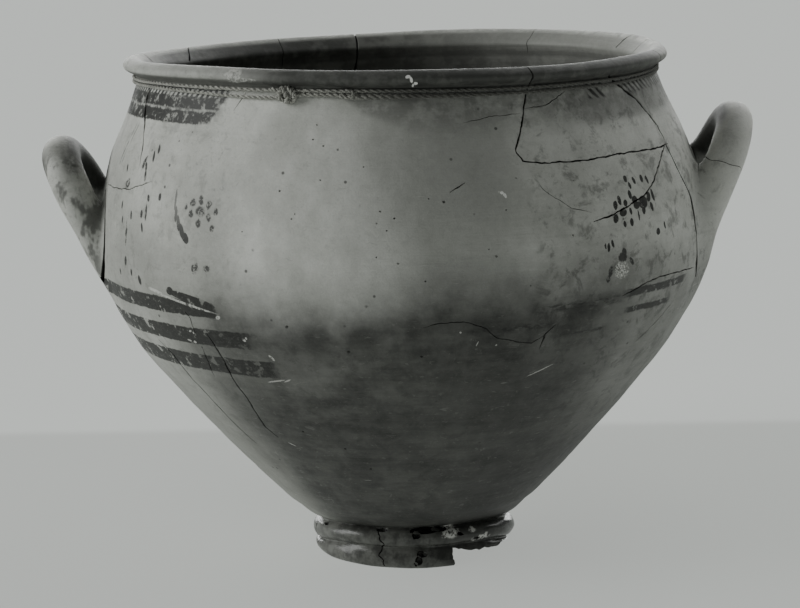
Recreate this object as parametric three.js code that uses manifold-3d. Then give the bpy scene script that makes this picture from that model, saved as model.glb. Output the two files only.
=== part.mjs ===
// Greek krater: a wide-mouthed mixing bowl of fired clay on a low ring foot, with an
// everted lip and two round loop handles, mended from sherds, and a length of twine
// wound twice round the neck under the lip and knotted.
//
// Frame: millimetres, +Z up, the foot standing on z = 0, +X towards the right handle,
// -Y the front. The origin is under the middle of the whole outline.

import * as THREE from 'three';
import { mergeVertices } from 'three/addons/utils/BufferGeometryUtils.js';
import Module from 'manifold-3d';

const wasm = await Module();
wasm.setup();

const DEG = Math.PI / 180;

// ------------------------------------------------------------------ driving sizes
const SIDES = 60;               // flats round the bowl

// lip
const RIM_Z = 310.3;            // crest of the lip
const CREST_R = 158.9;
const LIP_R = 165.0;            // widest point of the lip
const LIP_TIP_Z = 305.2;
const LIP_UNDER_Z = 300.0;      // where the lip's sloping underside starts
const NECK_R = 158.2;
const NECK_Z = 296.0;
const BEVEL_R = 148.4;          // inner edge of the bevelled lip
const BEVEL_Z = 301.0;

// wall
const WALL = 8.0;               // at the shoulder
const WALL_LOW = 10.5;          // towards the foot
const FLOOR_Z = 33.0;           // inside bottom of the bowl
const WALL_STATIONS = [         // outer radius of the body at each height [z, r]
  [32, 75.2], [65, 107.0], [105, 142.1], [142.6, 170.2], [168, 182.0],
  [193, 187.0], [225, 183.6], [252, 176.6], [281, 163.6], [NECK_Z, NECK_R],
];

// foot
const FOOT_R = 61.5;            // lower moulding
const ROLL_R = 63.2;            // upper moulding
const FOOT_JOIN_R = 58.0;       // where the body meets the foot
const FOOT_INNER_R = 47.0;      // inside of the ring underneath
const FOOT_RECESS = 7.0;        // depth of the hollow under the foot
const FOOT_FRONT_H = 23.0;      // the foot is wedge-shaped: taller in front
const FOOT_SIDE_H = 18.0;
const BAND_FRONT_H = 12.0;      // lower moulding, up to the groove
const BAND_SIDE_H = 4.8;

// the piece broken out of the ring, in front and to the right
const BREAK_FROM = -63;         // degrees from +X, seen from above
const BREAK_TO = -8;
const BREAK_R_IN = 49.5;
const BREAK_H = 9.5;

// lean of the body on its foot, and the sag of the rim
const LEAN_LEFT = 0.55;         // degrees
const LEAN_BACK = 2.0;
const SADDLE = 1.6;             // rise and fall of the rim from a flat ring
const FOOT_SHIFT = 4.2;         // the foot stands to the right of the mouth's centre

// handles: round-limbed loops rising outwards from the shoulder
const LIMB_R = 11.2;
const LIMB_SIDES = 12;
const LIMB_STEPS = 26;
const LEFT = { side: -1, slope: 27.0, rootX: 172.0, rootZ: 179.4, rise: 79.2, web: 5, front: -31, back: 34 };
const RIGHT = { side: 1, slope: 22.7, rootX: 166.8, rootZ: 175.4, rise: 96.4, web: 11, front: -31, back: 34 };
const ROOT_DEPTH = 30;          // how far each limb runs on into the wall
const ROOT_FLARE = 2.6;         // extra radius where a limb spreads onto the wall
const ROOT_BEND = 0.014;        // how fast a limb's end turns in through the wall

// twine
const TWINE_R = 1.1;
const TWINE_GAP = 0.35;         // clear of the clay
const TWINE_SLACK = 0.55;       // it bridges the flats a little
const TWINE_TOP_Z = 298.6;
const TWINE_LOW_Z = 296.0;
const KNOT_AT = -112.2;         // degrees: front, left of the middle
const KNOT_SIZE = [5.0, 3.5, 4.4];
const HITCH_AT = -99.3;
const HITCH_SIZE = [3.2, 2.3, 3.6];

// ------------------------------------------------------------------ shared helpers
const clamp01 = (t) => Math.min(1, Math.max(0, t));
const ease = (t) => { const s = clamp01(t); return s * s * (3 - 2 * s); };

function toSolid(geometry) {
  const g = geometry.clone();
  for (const name of Object.keys(g.attributes)) if (name !== 'position') g.deleteAttribute(name);
  const m = mergeVertices(g, 1e-4);
  const tri = Array.from(m.index.array);
  const kept = [];
  for (let i = 0; i < tri.length; i += 3) {
    const [a, b, c] = [tri[i], tri[i + 1], tri[i + 2]];
    if (a !== b && b !== c && c !== a) kept.push(a, b, c);
  }
  return new wasm.Manifold(new wasm.Mesh({
    numProp: 3,
    vertProperties: new Float32Array(m.attributes.position.array),
    triVerts: new Uint32Array(kept),
  }));
}

function toGeometry(solid) {
  const m = solid.getMesh();
  const g = new THREE.BufferGeometry();
  const p = new Float32Array(m.numVert * 3);
  for (let i = 0; i < m.numVert; i += 1) {
    for (let k = 0; k < 3; k += 1) p[3 * i + k] = m.vertProperties[i * m.numProp + k];
  }
  g.setAttribute('position', new THREE.BufferAttribute(p, 3));
  g.setIndex(new THREE.BufferAttribute(new Uint32Array(m.triVerts), 1));
  return g;
}

function move(geometry, fn) {
  const p = geometry.attributes.position;
  const v = new THREE.Vector3();
  for (let i = 0; i < p.count; i += 1) {
    v.fromBufferAttribute(p, i);
    fn(v);
    p.setXYZ(i, v.x, v.y, v.z);
  }
  return geometry;
}

// LatheGeometry turns round Y; this stands it on Z with its first side at +X
function turned(points, sides = SIDES) {
  const g = new THREE.LatheGeometry(points.map(([r, z]) => new THREE.Vector2(r, z)), sides);
  return move(g, (v) => {
    const x = v.z;
    const y = v.x;
    v.set(x, y, v.y);
  });
}

// Outer radius of the body at a height, and of the wall's inner face
const bodyCurve = new THREE.CatmullRomCurve3(
  WALL_STATIONS.map(([z, r]) => new THREE.Vector3(r, z, 0)), false, 'centripetal');
const bodyPoints = bodyCurve.getPoints(240);
function bodyRadius(z) {
  for (let i = 1; i < bodyPoints.length; i += 1) {
    const a = bodyPoints[i - 1];
    const b = bodyPoints[i];
    if (z <= b.y) return a.x + (b.x - a.x) * (z - a.y) / (b.y - a.y);
  }
  return NECK_R;
}

// How the whole body sits: the rim's saddle, the lean, and the foot set to one side
function settle(v) {
  const up = clamp01(v.z / RIM_Z);
  const theta = Math.atan2(v.y, v.x);
  const radius = Math.hypot(v.x, v.y);
  v.z += SADDLE * Math.sin(2 * theta) * ease((up - 0.45) / 0.55) * clamp01(radius / 100);
  v.x += FOOT_SHIFT * (1 - up * up);
  const a = LEAN_LEFT * DEG;
  const b = LEAN_BACK * DEG;
  const x2 = v.x * Math.cos(a) - v.z * Math.sin(a);
  const z2 = v.x * Math.sin(a) + v.z * Math.cos(a);
  const y3 = v.y * Math.cos(b) + z2 * Math.sin(b);
  const z3 = -v.y * Math.sin(b) + z2 * Math.cos(b);
  const w = ease(v.z / 26);      // the foot's underside stays flat
  v.set(v.x + w * (x2 - v.x), v.y + w * (y3 - v.y), v.z + w * (z3 - v.z));
}

// ------------------------------------------------------------------ krater
// The foot's mouldings as fractions of its height, stretched afterwards so that the
// foot is tall in front and low at the sides and back.
function footStretch(v) {
  if (v.z >= 32 || v.z <= 0) return;
  const front = 0.5 - 0.5 * Math.sin(Math.atan2(v.y, v.x));    // 1 in front, 0 behind
  const t = ease((front - 0.45) / 0.5);
  const right = Math.max(0, Math.cos(Math.atan2(v.y, v.x))) * (1 - t);
  const bandH = BAND_SIDE_H + (BAND_FRONT_H - BAND_SIDE_H) * t - 1.6 * right;
  const joinH = FOOT_SIDE_H + (FOOT_FRONT_H - FOOT_SIDE_H) * t - 2.0 * right;
  if (v.z <= BAND_FRONT_H) v.z *= bandH / BAND_FRONT_H;
  else if (v.z <= FOOT_FRONT_H) {
    v.z = bandH + (v.z - BAND_FRONT_H) * (joinH - bandH) / (FOOT_FRONT_H - BAND_FRONT_H);
  } else v.z = joinH + (v.z - FOOT_FRONT_H) * (32 - joinH) / (32 - FOOT_FRONT_H);
}

function makeOuter() {
  const pts = [[0, FOOT_RECESS], [FOOT_INNER_R - 5, FOOT_RECESS], [FOOT_INNER_R, 0]];
  // lower moulding, groove, upper roll
  pts.push([FOOT_R - 1.2, 0], [FOOT_R, 1.6], [FOOT_R, BAND_FRONT_H - 3], [FOOT_R - 2.2, BAND_FRONT_H]);
  const rollH = FOOT_FRONT_H - BAND_FRONT_H;
  for (const a of [-50, -10, 35, 75]) {
    pts.push([ROLL_R - 4.6 + 4.6 * Math.cos(a * DEG), BAND_FRONT_H + rollH / 2 - 0.4 + (rollH / 2) * Math.sin(a * DEG)]);
  }
  pts.push([FOOT_JOIN_R, FOOT_FRONT_H]);
  // body
  for (const z of [32, 50, 74, 100, 126, 149, 167, 182, 198, 216, 236, 256, 272, 286]) {
    pts.push([bodyRadius(z), z]);
  }
  // neck, lip and the bevel inside it
  pts.push([NECK_R, NECK_Z], [NECK_R + 0.4, LIP_UNDER_Z], [NECK_R + 2.4, LIP_UNDER_Z + 1.0]);
  pts.push([LIP_R - 1.6, LIP_UNDER_Z + 2.6], [LIP_R, LIP_TIP_Z], [LIP_R - 1.6, RIM_Z - 2.1]);
  pts.push([CREST_R + 1.6, RIM_Z - 0.2], [CREST_R - 1.4, RIM_Z - 0.3], [BEVEL_R + 3.2, BEVEL_Z + 4.6]);
  pts.push([BEVEL_R, BEVEL_Z], [0, BEVEL_Z]);
  return toSolid(move(turned(pts), (v) => { footStretch(v); settle(v); }));
}

// the hollow of the bowl: the wall's inner face, open at the mouth
function makeHollow() {
  const pts = [[0, FLOOR_Z], [34, FLOOR_Z + 1.5]];
  for (const z of [48, 74, 100, 126, 149, 170, 190, 212, 236, 258, 276, 288]) {
    const t = clamp01((z - 40) / 110);
    pts.push([bodyRadius(z) - (WALL_LOW + (WALL - WALL_LOW) * t) * (1 + 0.32 * (1 - ease((z - 30) / 90))), z]);
  }
  pts.push([BEVEL_R + 1.4, 295.5], [BEVEL_R + 0.7, BEVEL_Z - 1.6], [BEVEL_R + 0.7, BEVEL_Z + 6], [0, BEVEL_Z + 6]);
  return toSolid(move(turned(pts), settle));
}

// One loop handle: two limbs side by side in a steep plane, joined by an arch
function makeHandle(h) {
  const s = Math.sin(h.slope * DEG);
  const c = Math.cos(h.slope * DEG);
  const half = (h.back - h.front) / 2;
  const mid = (h.back + h.front) / 2;
  const arch = half * 1.12;
  const at = (t, y) => {
    const inward = ROOT_BEND * Math.max(0, 12 - t) ** 2;
    return new THREE.Vector3(h.side * (h.rootX + s * t - inward * c), y, h.rootZ + c * t + inward * s * 0.4);
  };
  const pts = [];
  const straight = h.rise - arch;
  for (let i = 0; i < 5; i += 1) {
    const k = i / 5;
    pts.push(at(-ROOT_DEPTH + (straight + ROOT_DEPTH) * k, h.front - 3.5 * (1 - ease(k * 1.6))));
  }
  for (let i = 0; i <= 10; i += 1) {
    const a = Math.PI * (i / 10);
    pts.push(at(straight + arch * Math.sin(a), mid - half * Math.cos(a)));
  }
  for (let i = 4; i >= 0; i -= 1) {
    const k = i / 5;
    pts.push(at(-ROOT_DEPTH + (straight + ROOT_DEPTH) * k, h.back + 3.5 * (1 - ease(k * 1.6))));
  }
  const path = new THREE.CatmullRomCurve3(pts, false, 'centripetal');
  const section = new THREE.Shape();
  for (let i = 0; i < LIMB_SIDES; i += 1) {
    const a = (2 * Math.PI * (i + 0.5)) / LIMB_SIDES;
    const p = [LIMB_R * Math.cos(a), LIMB_R * Math.sin(a)];
    if (i === 0) section.moveTo(...p); else section.lineTo(...p);
  }
  section.closePath();
  const g = new THREE.ExtrudeGeometry(section, { steps: LIMB_STEPS, extrudePath: path, bevelEnabled: false });
  // the limbs spread as they reach the wall
  move(g, (v) => {
    const t = (h.side * v.x - h.rootX) * s + (v.z - h.rootZ) * c;
    const y0 = v.y < mid ? h.front : h.back;
    const flare = 1 + (ROOT_FLARE / LIMB_R) * (1 - ease((t - 4) / 34));
    const inward = ROOT_BEND * Math.max(0, 12 - t) ** 2;
    const d = (h.side * v.x - h.rootX + inward) * c - (v.z - h.rootZ) * s;   // out of the loop's plane
    let d2 = d * flare - d;
    if (d < 0) d2 += (d / LIMB_R) * h.web * (1 - ease((t - 20) / 50));       // web towards the shoulder
    v.x += h.side * c * d2;
    v.z -= s * d2;
    if (t < straight) v.y = y0 + (v.y - y0) * flare;
  });
  return toSolid(g);
}

// the piece missing from the foot ring, with ragged ends and a ragged ceiling
function makeFootBreak() {
  const outline = new THREE.Shape();
  const n = 14;
  for (let i = 0; i <= n; i += 1) {
    const a = (BREAK_FROM + (BREAK_TO - BREAK_FROM) * (i / n)) * DEG;
    const r = FOOT_R + 9;
    if (i === 0) outline.moveTo(r * Math.cos(a), r * Math.sin(a));
    else outline.lineTo(r * Math.cos(a), r * Math.sin(a));
  }
  for (let i = n; i >= 0; i -= 1) {
    const a = (BREAK_FROM + 2.5 * Math.sin(9) + (BREAK_TO - BREAK_FROM) * (i / n)) * DEG;
    const r = BREAK_R_IN + 1.6 * Math.sin(i * 2.1) + 0.9 * Math.sin(i * 4.7 + 1);
    outline.lineTo(r * Math.cos(a), r * Math.sin(a));
  }
  outline.closePath();
  const g = new THREE.ExtrudeGeometry(outline, { depth: BREAK_H + 5, steps: 1, bevelEnabled: false });
  move(g, (v) => {
    const a = Math.atan2(v.y, v.x) / DEG;
    const k = clamp01((a - BREAK_FROM) / (BREAK_TO - BREAK_FROM));
    if (v.z > 0) v.z = BREAK_H - 2.6 * k + 0.9 * Math.sin(a * 0.31) + 0.5 * Math.sin(a * 0.83 + 2);
    else v.z = -5;
    v.x += FOOT_SHIFT;
  });
  return toSolid(g);
}

const outer = makeOuter();
const krater = outer
  .add(makeHandle(LEFT))
  .add(makeHandle(RIGHT))
  .subtract(makeHollow())
  .subtract(makeFootBreak());

// ------------------------------------------------------------------ twine
// One strand's turn round the neck, its two ends hidden in the knot. The stations
// share the bowl's own flats, so that the strand lies along them.
function makeTurn(level, wave) {
  const start = KNOT_AT * DEG;
  const step = (2 * Math.PI) / SIDES;
  const pts = [];
  for (let i = 0; i <= SIDES; i += 1) {
    const inset = i === 0 ? 0.012 : (i === SIDES ? -0.012 : 0);
    const th = start + i * step + inset;
    const z = level + wave(th);
    const v = new THREE.Vector3(0, 0, z);
    const r = bodyRadius(z) + TWINE_GAP + TWINE_R + TWINE_SLACK;
    v.x = r * Math.cos(th);
    v.y = r * Math.sin(th);
    settle(v);
    pts.push(v);
  }
  const section = new THREE.Shape();
  for (let i = 0; i < 6; i += 1) {
    const a = (2 * Math.PI * (i + 0.5)) / 6;
    const p = [TWINE_R * Math.cos(a), TWINE_R * Math.sin(a)];
    if (i === 0) section.moveTo(...p); else section.lineTo(...p);
  }
  section.closePath();
  return toSolid(new THREE.ExtrudeGeometry(section, {
    steps: SIDES, extrudePath: new THREE.CatmullRomCurve3(pts, false, 'centripetal'), bevelEnabled: false,
  }));
}

function makeLump(at, level, size) {
  const g = new THREE.SphereGeometry(1, 10, 7);
  move(g, (v) => v.set(v.x * size[0], v.z * size[1], v.y * size[2]));
  const th = at * DEG;
  const r = bodyRadius(level) + TWINE_GAP + size[1] * 0.82;
  const c = new THREE.Vector3(r * Math.cos(th), r * Math.sin(th), level);
  move(g, (v) => {
    const t = v.x;
    const d = v.y;
    v.set(c.x - t * Math.sin(th) + d * Math.cos(th), c.y + t * Math.cos(th) + d * Math.sin(th), c.z + v.z);
    settle(v);
  });
  return toSolid(g);
}

// the clay with a clearance added, to keep the twine off it
function makeNeckClearance() {
  const g = TWINE_GAP;
  const pts = [[0, 272]];
  for (const z of [272, 286]) pts.push([bodyRadius(z) + g, z]);
  pts.push([NECK_R + g, NECK_Z], [NECK_R + 0.4 + g, LIP_UNDER_Z - g], [NECK_R + 2.4 + g, LIP_UNDER_Z + 1.0 - g]);
  pts.push([LIP_R - 1.6 + g, LIP_UNDER_Z + 2.6 - g], [LIP_R + 1, LIP_TIP_Z], [LIP_R + 1, LIP_TIP_Z + 4], [0, LIP_TIP_Z + 4]);
  return toSolid(move(turned(pts), settle));
}

const twine = makeTurn(TWINE_TOP_Z, () => 0)
  .add(makeTurn(TWINE_LOW_Z, (th) => 0.12 * Math.sin(3 * th)))
  .add(makeLump(KNOT_AT, TWINE_LOW_Z - 0.4, KNOT_SIZE))
  .add(makeLump(HITCH_AT, (TWINE_TOP_Z + TWINE_LOW_Z) / 2 - 0.4, HITCH_SIZE))
  .subtract(makeNeckClearance());

// ------------------------------------------------------------------ scene graph
const clay = new THREE.MeshStandardMaterial({ color: 0x9a9c93, roughness: 0.82, metalness: 0.0 });
clay.name = 'fired_clay';
const fibre = new THREE.MeshStandardMaterial({ color: 0x8f8f84, roughness: 0.95, metalness: 0.0 });
fibre.name = 'twine_fibre';

const kraterGeometry = toGeometry(krater);
const twineGeometry = toGeometry(twine);

// put the origin under the middle of the outline
kraterGeometry.computeBoundingBox();
twineGeometry.computeBoundingBox();
const all = kraterGeometry.boundingBox.clone().union(twineGeometry.boundingBox);
const centre = all.getCenter(new THREE.Vector3());
const shift = new THREE.Vector3(-centre.x, -centre.y, -all.min.z);
kraterGeometry.translate(shift.x, shift.y, shift.z);
twineGeometry.translate(shift.x, shift.y, shift.z);
kraterGeometry.computeVertexNormals();
twineGeometry.computeVertexNormals();

const kraterMesh = new THREE.Mesh(kraterGeometry, clay);
kraterMesh.name = 'krater';
const twineMesh = new THREE.Mesh(twineGeometry, fibre);
twineMesh.name = 'binding_string';

const group = new THREE.Group();
group.add(kraterMesh, twineMesh);

export default group;
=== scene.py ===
"""Greek krater: fine surface, cracks, worn paint and twine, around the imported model.

Sizes below are in millimetres in the vessel's own upright frame; place() gives the row
frame in metres. phi is the angle round the vessel in degrees: 0 at the front (-Y),
+90 at the right handle (+X).
"""
import math

import bpy
import bmesh
import numpy as np
from mathutils import Matrix, Vector
from mathutils.bvhtree import BVHTree


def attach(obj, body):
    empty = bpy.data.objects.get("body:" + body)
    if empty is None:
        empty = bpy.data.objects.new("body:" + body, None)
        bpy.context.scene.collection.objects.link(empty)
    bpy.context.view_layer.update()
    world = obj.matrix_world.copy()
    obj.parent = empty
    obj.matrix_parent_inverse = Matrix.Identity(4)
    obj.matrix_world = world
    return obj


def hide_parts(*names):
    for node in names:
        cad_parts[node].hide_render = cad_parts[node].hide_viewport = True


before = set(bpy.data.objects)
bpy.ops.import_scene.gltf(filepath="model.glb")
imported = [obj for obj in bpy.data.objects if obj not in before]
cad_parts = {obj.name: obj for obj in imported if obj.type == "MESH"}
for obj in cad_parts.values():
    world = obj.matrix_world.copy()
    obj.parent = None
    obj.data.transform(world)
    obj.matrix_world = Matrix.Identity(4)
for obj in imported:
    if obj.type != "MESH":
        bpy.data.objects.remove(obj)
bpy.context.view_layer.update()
SCENE = bpy.context.scene
MM = 0.001

# ---------------------------------------------------------------- sizes
AXIS = (1.886, -6.911)          # where the foot-and-rim axis frame sits in the row frame
RIM_Z = 310.3
STATIONS = np.array([
    [32, 75.2], [65, 107.0], [105, 142.1], [142.6, 170.2], [168, 182.0],
    [193, 187.0], [225, 183.6], [252, 176.6], [281, 163.6], [296, 158.2]])
FOOT_FRONT_H, FOOT_SIDE_H = 23.0, 18.0
BAND_FRONT_H, BAND_SIDE_H = 12.0, 4.8
LEAN_LEFT, LEAN_BACK, SADDLE, FOOT_SHIFT = 0.55, 2.0, 1.6, 4.2
RING = 288                      # points round the outside
LIMB_R = 11.2
HANDLES = {
    "left": dict(side=-1, slope=27.0, rx=172.0, rz=179.4, rise=79.2, front=-31.0, back=34.0, k=6.0),
    "right": dict(side=1, slope=22.7, rx=166.8, rz=175.4, rise=96.4, front=-31.0, back=34.0, k=13.0),
}


def clamp01(t):
    return np.clip(t, 0.0, 1.0)


def ease(t):
    s = clamp01(t)
    return s * s * (3 - 2 * s)


def monotone(xs, ys):
    """Shape-keeping cubic through the stations."""
    xs, ys = np.asarray(xs, float), np.asarray(ys, float)
    h, d = np.diff(xs), np.diff(ys) / np.diff(xs)
    m = np.empty_like(ys)
    m[0], m[-1] = d[0], d[-1]
    for i in range(1, len(xs) - 1):
        if d[i - 1] * d[i] <= 0:
            m[i] = 0.0
        else:
            w1, w2 = 2 * h[i] + h[i - 1], h[i] + 2 * h[i - 1]
            m[i] = (w1 + w2) / (w1 / d[i - 1] + w2 / d[i])

    def f(x):
        x = np.clip(np.asarray(x, float), xs[0], xs[-1])
        i = np.clip(np.searchsorted(xs, x) - 1, 0, len(h) - 1)
        t = (x - xs[i]) / h[i]
        return ((2 * t ** 3 - 3 * t ** 2 + 1) * ys[i] + (t ** 3 - 2 * t ** 2 + t) * h[i] * m[i]
                + (-2 * t ** 3 + 3 * t ** 2) * ys[i + 1] + (t ** 3 - t ** 2) * h[i] * m[i + 1])
    return f


_body = monotone(STATIONS[:, 0], STATIONS[:, 1])


def body_radius(z):
    z = np.asarray(z, float)
    low = 58.0 + (75.2 - 58.0) * clamp01((z - 23.0) / 9.0)
    return np.where(z < 32, low, _body(z))


def settle(p):
    """Upright frame to the leaning, slightly warped real one (mm)."""
    p = np.asarray(p, float)
    x, y, z = p[..., 0].copy(), p[..., 1].copy(), p[..., 2].copy()
    up = clamp01(z / RIM_Z)
    th = np.arctan2(y, x)
    r = np.hypot(x, y)
    z = z + SADDLE * np.sin(2 * th) * ease((up - 0.45) / 0.55) * clamp01(r / 100)
    x = x + FOOT_SHIFT * (1 - up * up)
    a, b = math.radians(LEAN_LEFT), math.radians(LEAN_BACK)
    x2 = x * math.cos(a) - z * math.sin(a)
    z2 = x * math.sin(a) + z * math.cos(a)
    y3 = y * math.cos(b) + z2 * math.sin(b)
    z3 = -y * math.sin(b) + z2 * math.cos(b)
    w = ease(z / 26)
    return np.stack([x + w * (x2 - x), y + w * (y3 - y), z + w * (z3 - z)], -1)


def unsettle(p):
    q = np.array(p, float)
    for _ in range(10):
        q = q + (p - settle(q))
    return q


def place(p):
    """Upright mm to the row frame in metres."""
    return (settle(p) + np.array([AXIS[0], AXIS[1], 0.0])) * MM


def upright(p):
    """Row frame metres to upright mm."""
    return unsettle(np.asarray(p, float) / MM - np.array([AXIS[0], AXIS[1], 0.0]))


def foot_stretch(phi, z):
    """The foot is a wedge: tall in front, low at the sides and back."""
    th = np.radians(phi) - np.pi / 2
    front = 0.5 - 0.5 * np.sin(th)
    t = ease((front - 0.45) / 0.5)
    right = np.maximum(0, np.cos(th)) * (1 - t)
    band = BAND_SIDE_H + (BAND_FRONT_H - BAND_SIDE_H) * t - 1.6 * right
    join = FOOT_SIDE_H + (FOOT_FRONT_H - FOOT_SIDE_H) * t - 2.0 * right
    z1 = z * band / BAND_FRONT_H
    z2 = band + (z - BAND_FRONT_H) * (join - band) / (FOOT_FRONT_H - BAND_FRONT_H)
    z3 = join + (z - FOOT_FRONT_H) * (32 - join) / (32 - FOOT_FRONT_H)
    out = np.where(z <= BAND_FRONT_H, z1, np.where(z <= FOOT_FRONT_H, z2, z3))
    return np.where((z >= 32) | (z <= 0), z, out)


def wobble(phi, z):
    """Handmade unevenness of the outside, in mm."""
    p = np.radians(phi)
    k = ease((z - 24) / 40)
    return k * (0.30 * np.sin(2 * p + 0.7 + z * 0.011) + 0.22 * np.sin(3 * p + 2.1 - z * 0.017)
                + 0.14 * np.sin(5 * p + 0.4 + z * 0.043) + 0.10 * np.sin(9 * p - z * 0.09)
                + 0.12 * np.sin(z * 0.21 + 0.8 * np.sin(p)) + 0.07 * np.sin(z * 0.53 + 2 * np.sin(2 * p)))


def smooth_line(ctrl, spacing):
    """Centripetal Catmull-Rom through ctrl, resampled."""
    c = np.asarray(ctrl, float)
    c = np.vstack([2 * c[0] - c[1], c, 2 * c[-1] - c[-2]])
    out = []
    for i in range(1, len(c) - 2):
        p0, p1, p2, p3 = c[i - 1:i + 3]
        t0 = 0.0
        t1 = t0 + max(np.linalg.norm(p1 - p0), 1e-9) ** 0.5
        t2 = t1 + max(np.linalg.norm(p2 - p1), 1e-9) ** 0.5
        t3 = t2 + max(np.linalg.norm(p3 - p2), 1e-9) ** 0.5
        t = np.linspace(t1, t2, 24, endpoint=False)[:, None]
        a1 = (t1 - t) / (t1 - t0) * p0 + (t - t0) / (t1 - t0) * p1
        a2 = (t2 - t) / (t2 - t1) * p1 + (t - t1) / (t2 - t1) * p2
        a3 = (t3 - t) / (t3 - t2) * p2 + (t - t2) / (t3 - t2) * p3
        b1 = (t2 - t) / (t2 - t0) * a1 + (t - t0) / (t2 - t0) * a2
        b2 = (t3 - t) / (t3 - t1) * a2 + (t - t1) / (t3 - t1) * a3
        out.append((t2 - t) / (t2 - t1) * b1 + (t - t1) / (t2 - t1) * b2)
    pts = np.vstack(out + [c[-2:-1]])
    return resample(pts, spacing)


def resample(pts, spacing):
    s = np.concatenate([[0], np.cumsum(np.linalg.norm(np.diff(pts, axis=0), axis=1))])
    n = max(2, int(round(s[-1] / spacing)) + 1)
    q = np.linspace(0, s[-1], n)
    return np.stack([np.interp(q, s, pts[:, k]) for k in range(pts.shape[1])], -1)


# ---------------------------------------------------------------- profile of the outside
def wall_at(z):
    t = clamp01((z - 40) / 110)
    return (10.5 - 2.5 * t) * (1 + 0.32 * (1 - ease((z - 30) / 90)))


zb = np.linspace(36, 292, 60)
BODY = np.stack([body_radius(zb), zb], -1)
FOOT = [[48.6, 0], [53, 0], [58.6, 0.0], [60.4, 0.6], [61.3, 2.0], [61.7, 4.6], [61.4, 7.6], [60.6, 9.9],
        [59.4, 11.4], [58.9, 12.1], [59.5, 12.8], [61.6, 13.8], [62.9, 15.6], [63.3, 17.6], [62.8, 19.8],
        [61.2, 21.6], [59.3, 22.5], [58.2, 23.2], [60.2, 24.3], [66.5, 27.2]]
LIP = [[158.2, 296], [158.4, 298.4], [158.9, 299.9], [160.5, 301.0], [163.1, 302.3], [164.7, 303.6],
       [165.3, 304.8], [165.3, 306.0], [164.6, 307.4], [163.3, 308.7], [161.8, 309.7], [160.0, 310.3], [157.9, 310.0],
       [154.6, 307.9], [150.9, 304.4], [149.0, 302.2], [148.5, 300.8], [148.9, 299.6], [149.9, 297.8],
       [150.9, 294.5]]
zi = np.linspace(288, 48, 40)
INNER = np.vstack([np.stack([body_radius(zi) - wall_at(zi), zi], -1), [[58, 39.5], [34, 34.6], [12, 33.1]]])
OUT = smooth_line(np.vstack([FOOT, BODY, LIP]), 0.5)


def _spaced():
    """Closer rows where the profile turns fast."""
    rows, left = [OUT[0]], 0.0
    for i in range(1, len(OUT)):
        r, z = OUT[i]
        step = 3.1
        if z < 30:
            step = 0.85
        elif z > 295:
            step = 0.95
        left += 0.5
        if left >= step:
            rows.append(OUT[i])
            left = 0.0
    rows.append(OUT[-1])
    return np.array(rows)


ROWS = _spaced()
IN_ROWS = smooth_line(np.vstack([[OUT[-1]], INNER]), 5.5)[1:]


def skin(phi, r, z):
    """Upright point of the outside for profile (r, z)."""
    phi, r, z = np.broadcast_arrays(np.asarray(phi, float), np.asarray(r, float), np.asarray(z, float))
    zz = foot_stretch(phi, z)
    rr = r + wobble(phi, z) * (r > 100)
    # the lip is thrown and turned by hand too
    lip = ease((z - 300) / 4)
    rr = rr + lip * (0.35 * np.sin(np.radians(phi) * 4 + 1.0) + 0.2 * np.sin(np.radians(phi) * 11))
    zz = zz + lip * 0.22 * np.sin(np.radians(phi) * 7 + 0.5)
    # the foot is worn and lumpy
    low = (z < 23) & (r > 57)
    rr = rr + low * (0.35 * np.sin(np.radians(phi) * 5 + z * 0.3) + 0.2 * np.sin(np.radians(phi) * 13 + 1 + z * 0.7))
    p = np.radians(phi)
    return np.stack([rr * np.sin(p), -rr * np.cos(p), zz], -1)


def outside(phi, z, off=0.0):
    """Row-frame point and normal (mm) of the body's outside at a height."""
    def at(a, h):
        return place(skin(a, body_radius(h), h)) / MM
    p = at(phi, z)
    dp = at(np.asarray(phi) + 0.2, z) - at(np.asarray(phi) - 0.2, z)
    dz = at(phi, np.asarray(z) + 0.4) - at(phi, np.asarray(z) - 0.4)
    n = np.cross(dp, dz)
    n /= np.linalg.norm(n, axis=-1, keepdims=True)
    return p + n * off, n


# ---------------------------------------------------------------- mesh helpers
def make_mesh(name, verts, faces):
    me = bpy.data.meshes.new(name)
    me.from_pydata([tuple(v) for v in verts], [], [tuple(f) for f in faces])
    me.update()
    ob = bpy.data.objects.new(name, me)
    SCENE.collection.objects.link(ob)
    return ob


def outward(ob):
    bm = bmesh.new()
    bm.from_mesh(ob.data)
    bmesh.ops.remove_doubles(bm, verts=bm.verts, dist=1e-7)
    bmesh.ops.recalc_face_normals(bm, faces=bm.faces)
    if bm.calc_volume(signed=True) < 0:
        bmesh.ops.reverse_faces(bm, faces=bm.faces)
    bm.to_mesh(ob.data)
    bm.free()
    return ob


def coords(ob):
    co = np.zeros(len(ob.data.vertices) * 3)
    ob.data.vertices.foreach_get("co", co)
    return co.reshape(-1, 3)


def set_coords(ob, co):
    ob.data.vertices.foreach_set("co", np.asarray(co, float).ravel())
    ob.data.update()


def combine(target, tool, operation):
    m = target.modifiers.new("b", "BOOLEAN")
    m.operation = operation
    m.solver = "MANIFOLD"
    m.object = tool
    dg = bpy.context.evaluated_depsgraph_get()
    dg.update()
    new = bpy.data.meshes.new_from_object(target.evaluated_get(dg))
    if len(new.polygons) < 100:
        m.solver = "EXACT"
        dg.update()
        new = bpy.data.meshes.new_from_object(target.evaluated_get(dg))
    target.modifiers.clear()
    old = target.data
    target.data = new
    bpy.data.meshes.remove(old)
    bpy.data.objects.remove(tool)
    return target


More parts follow.
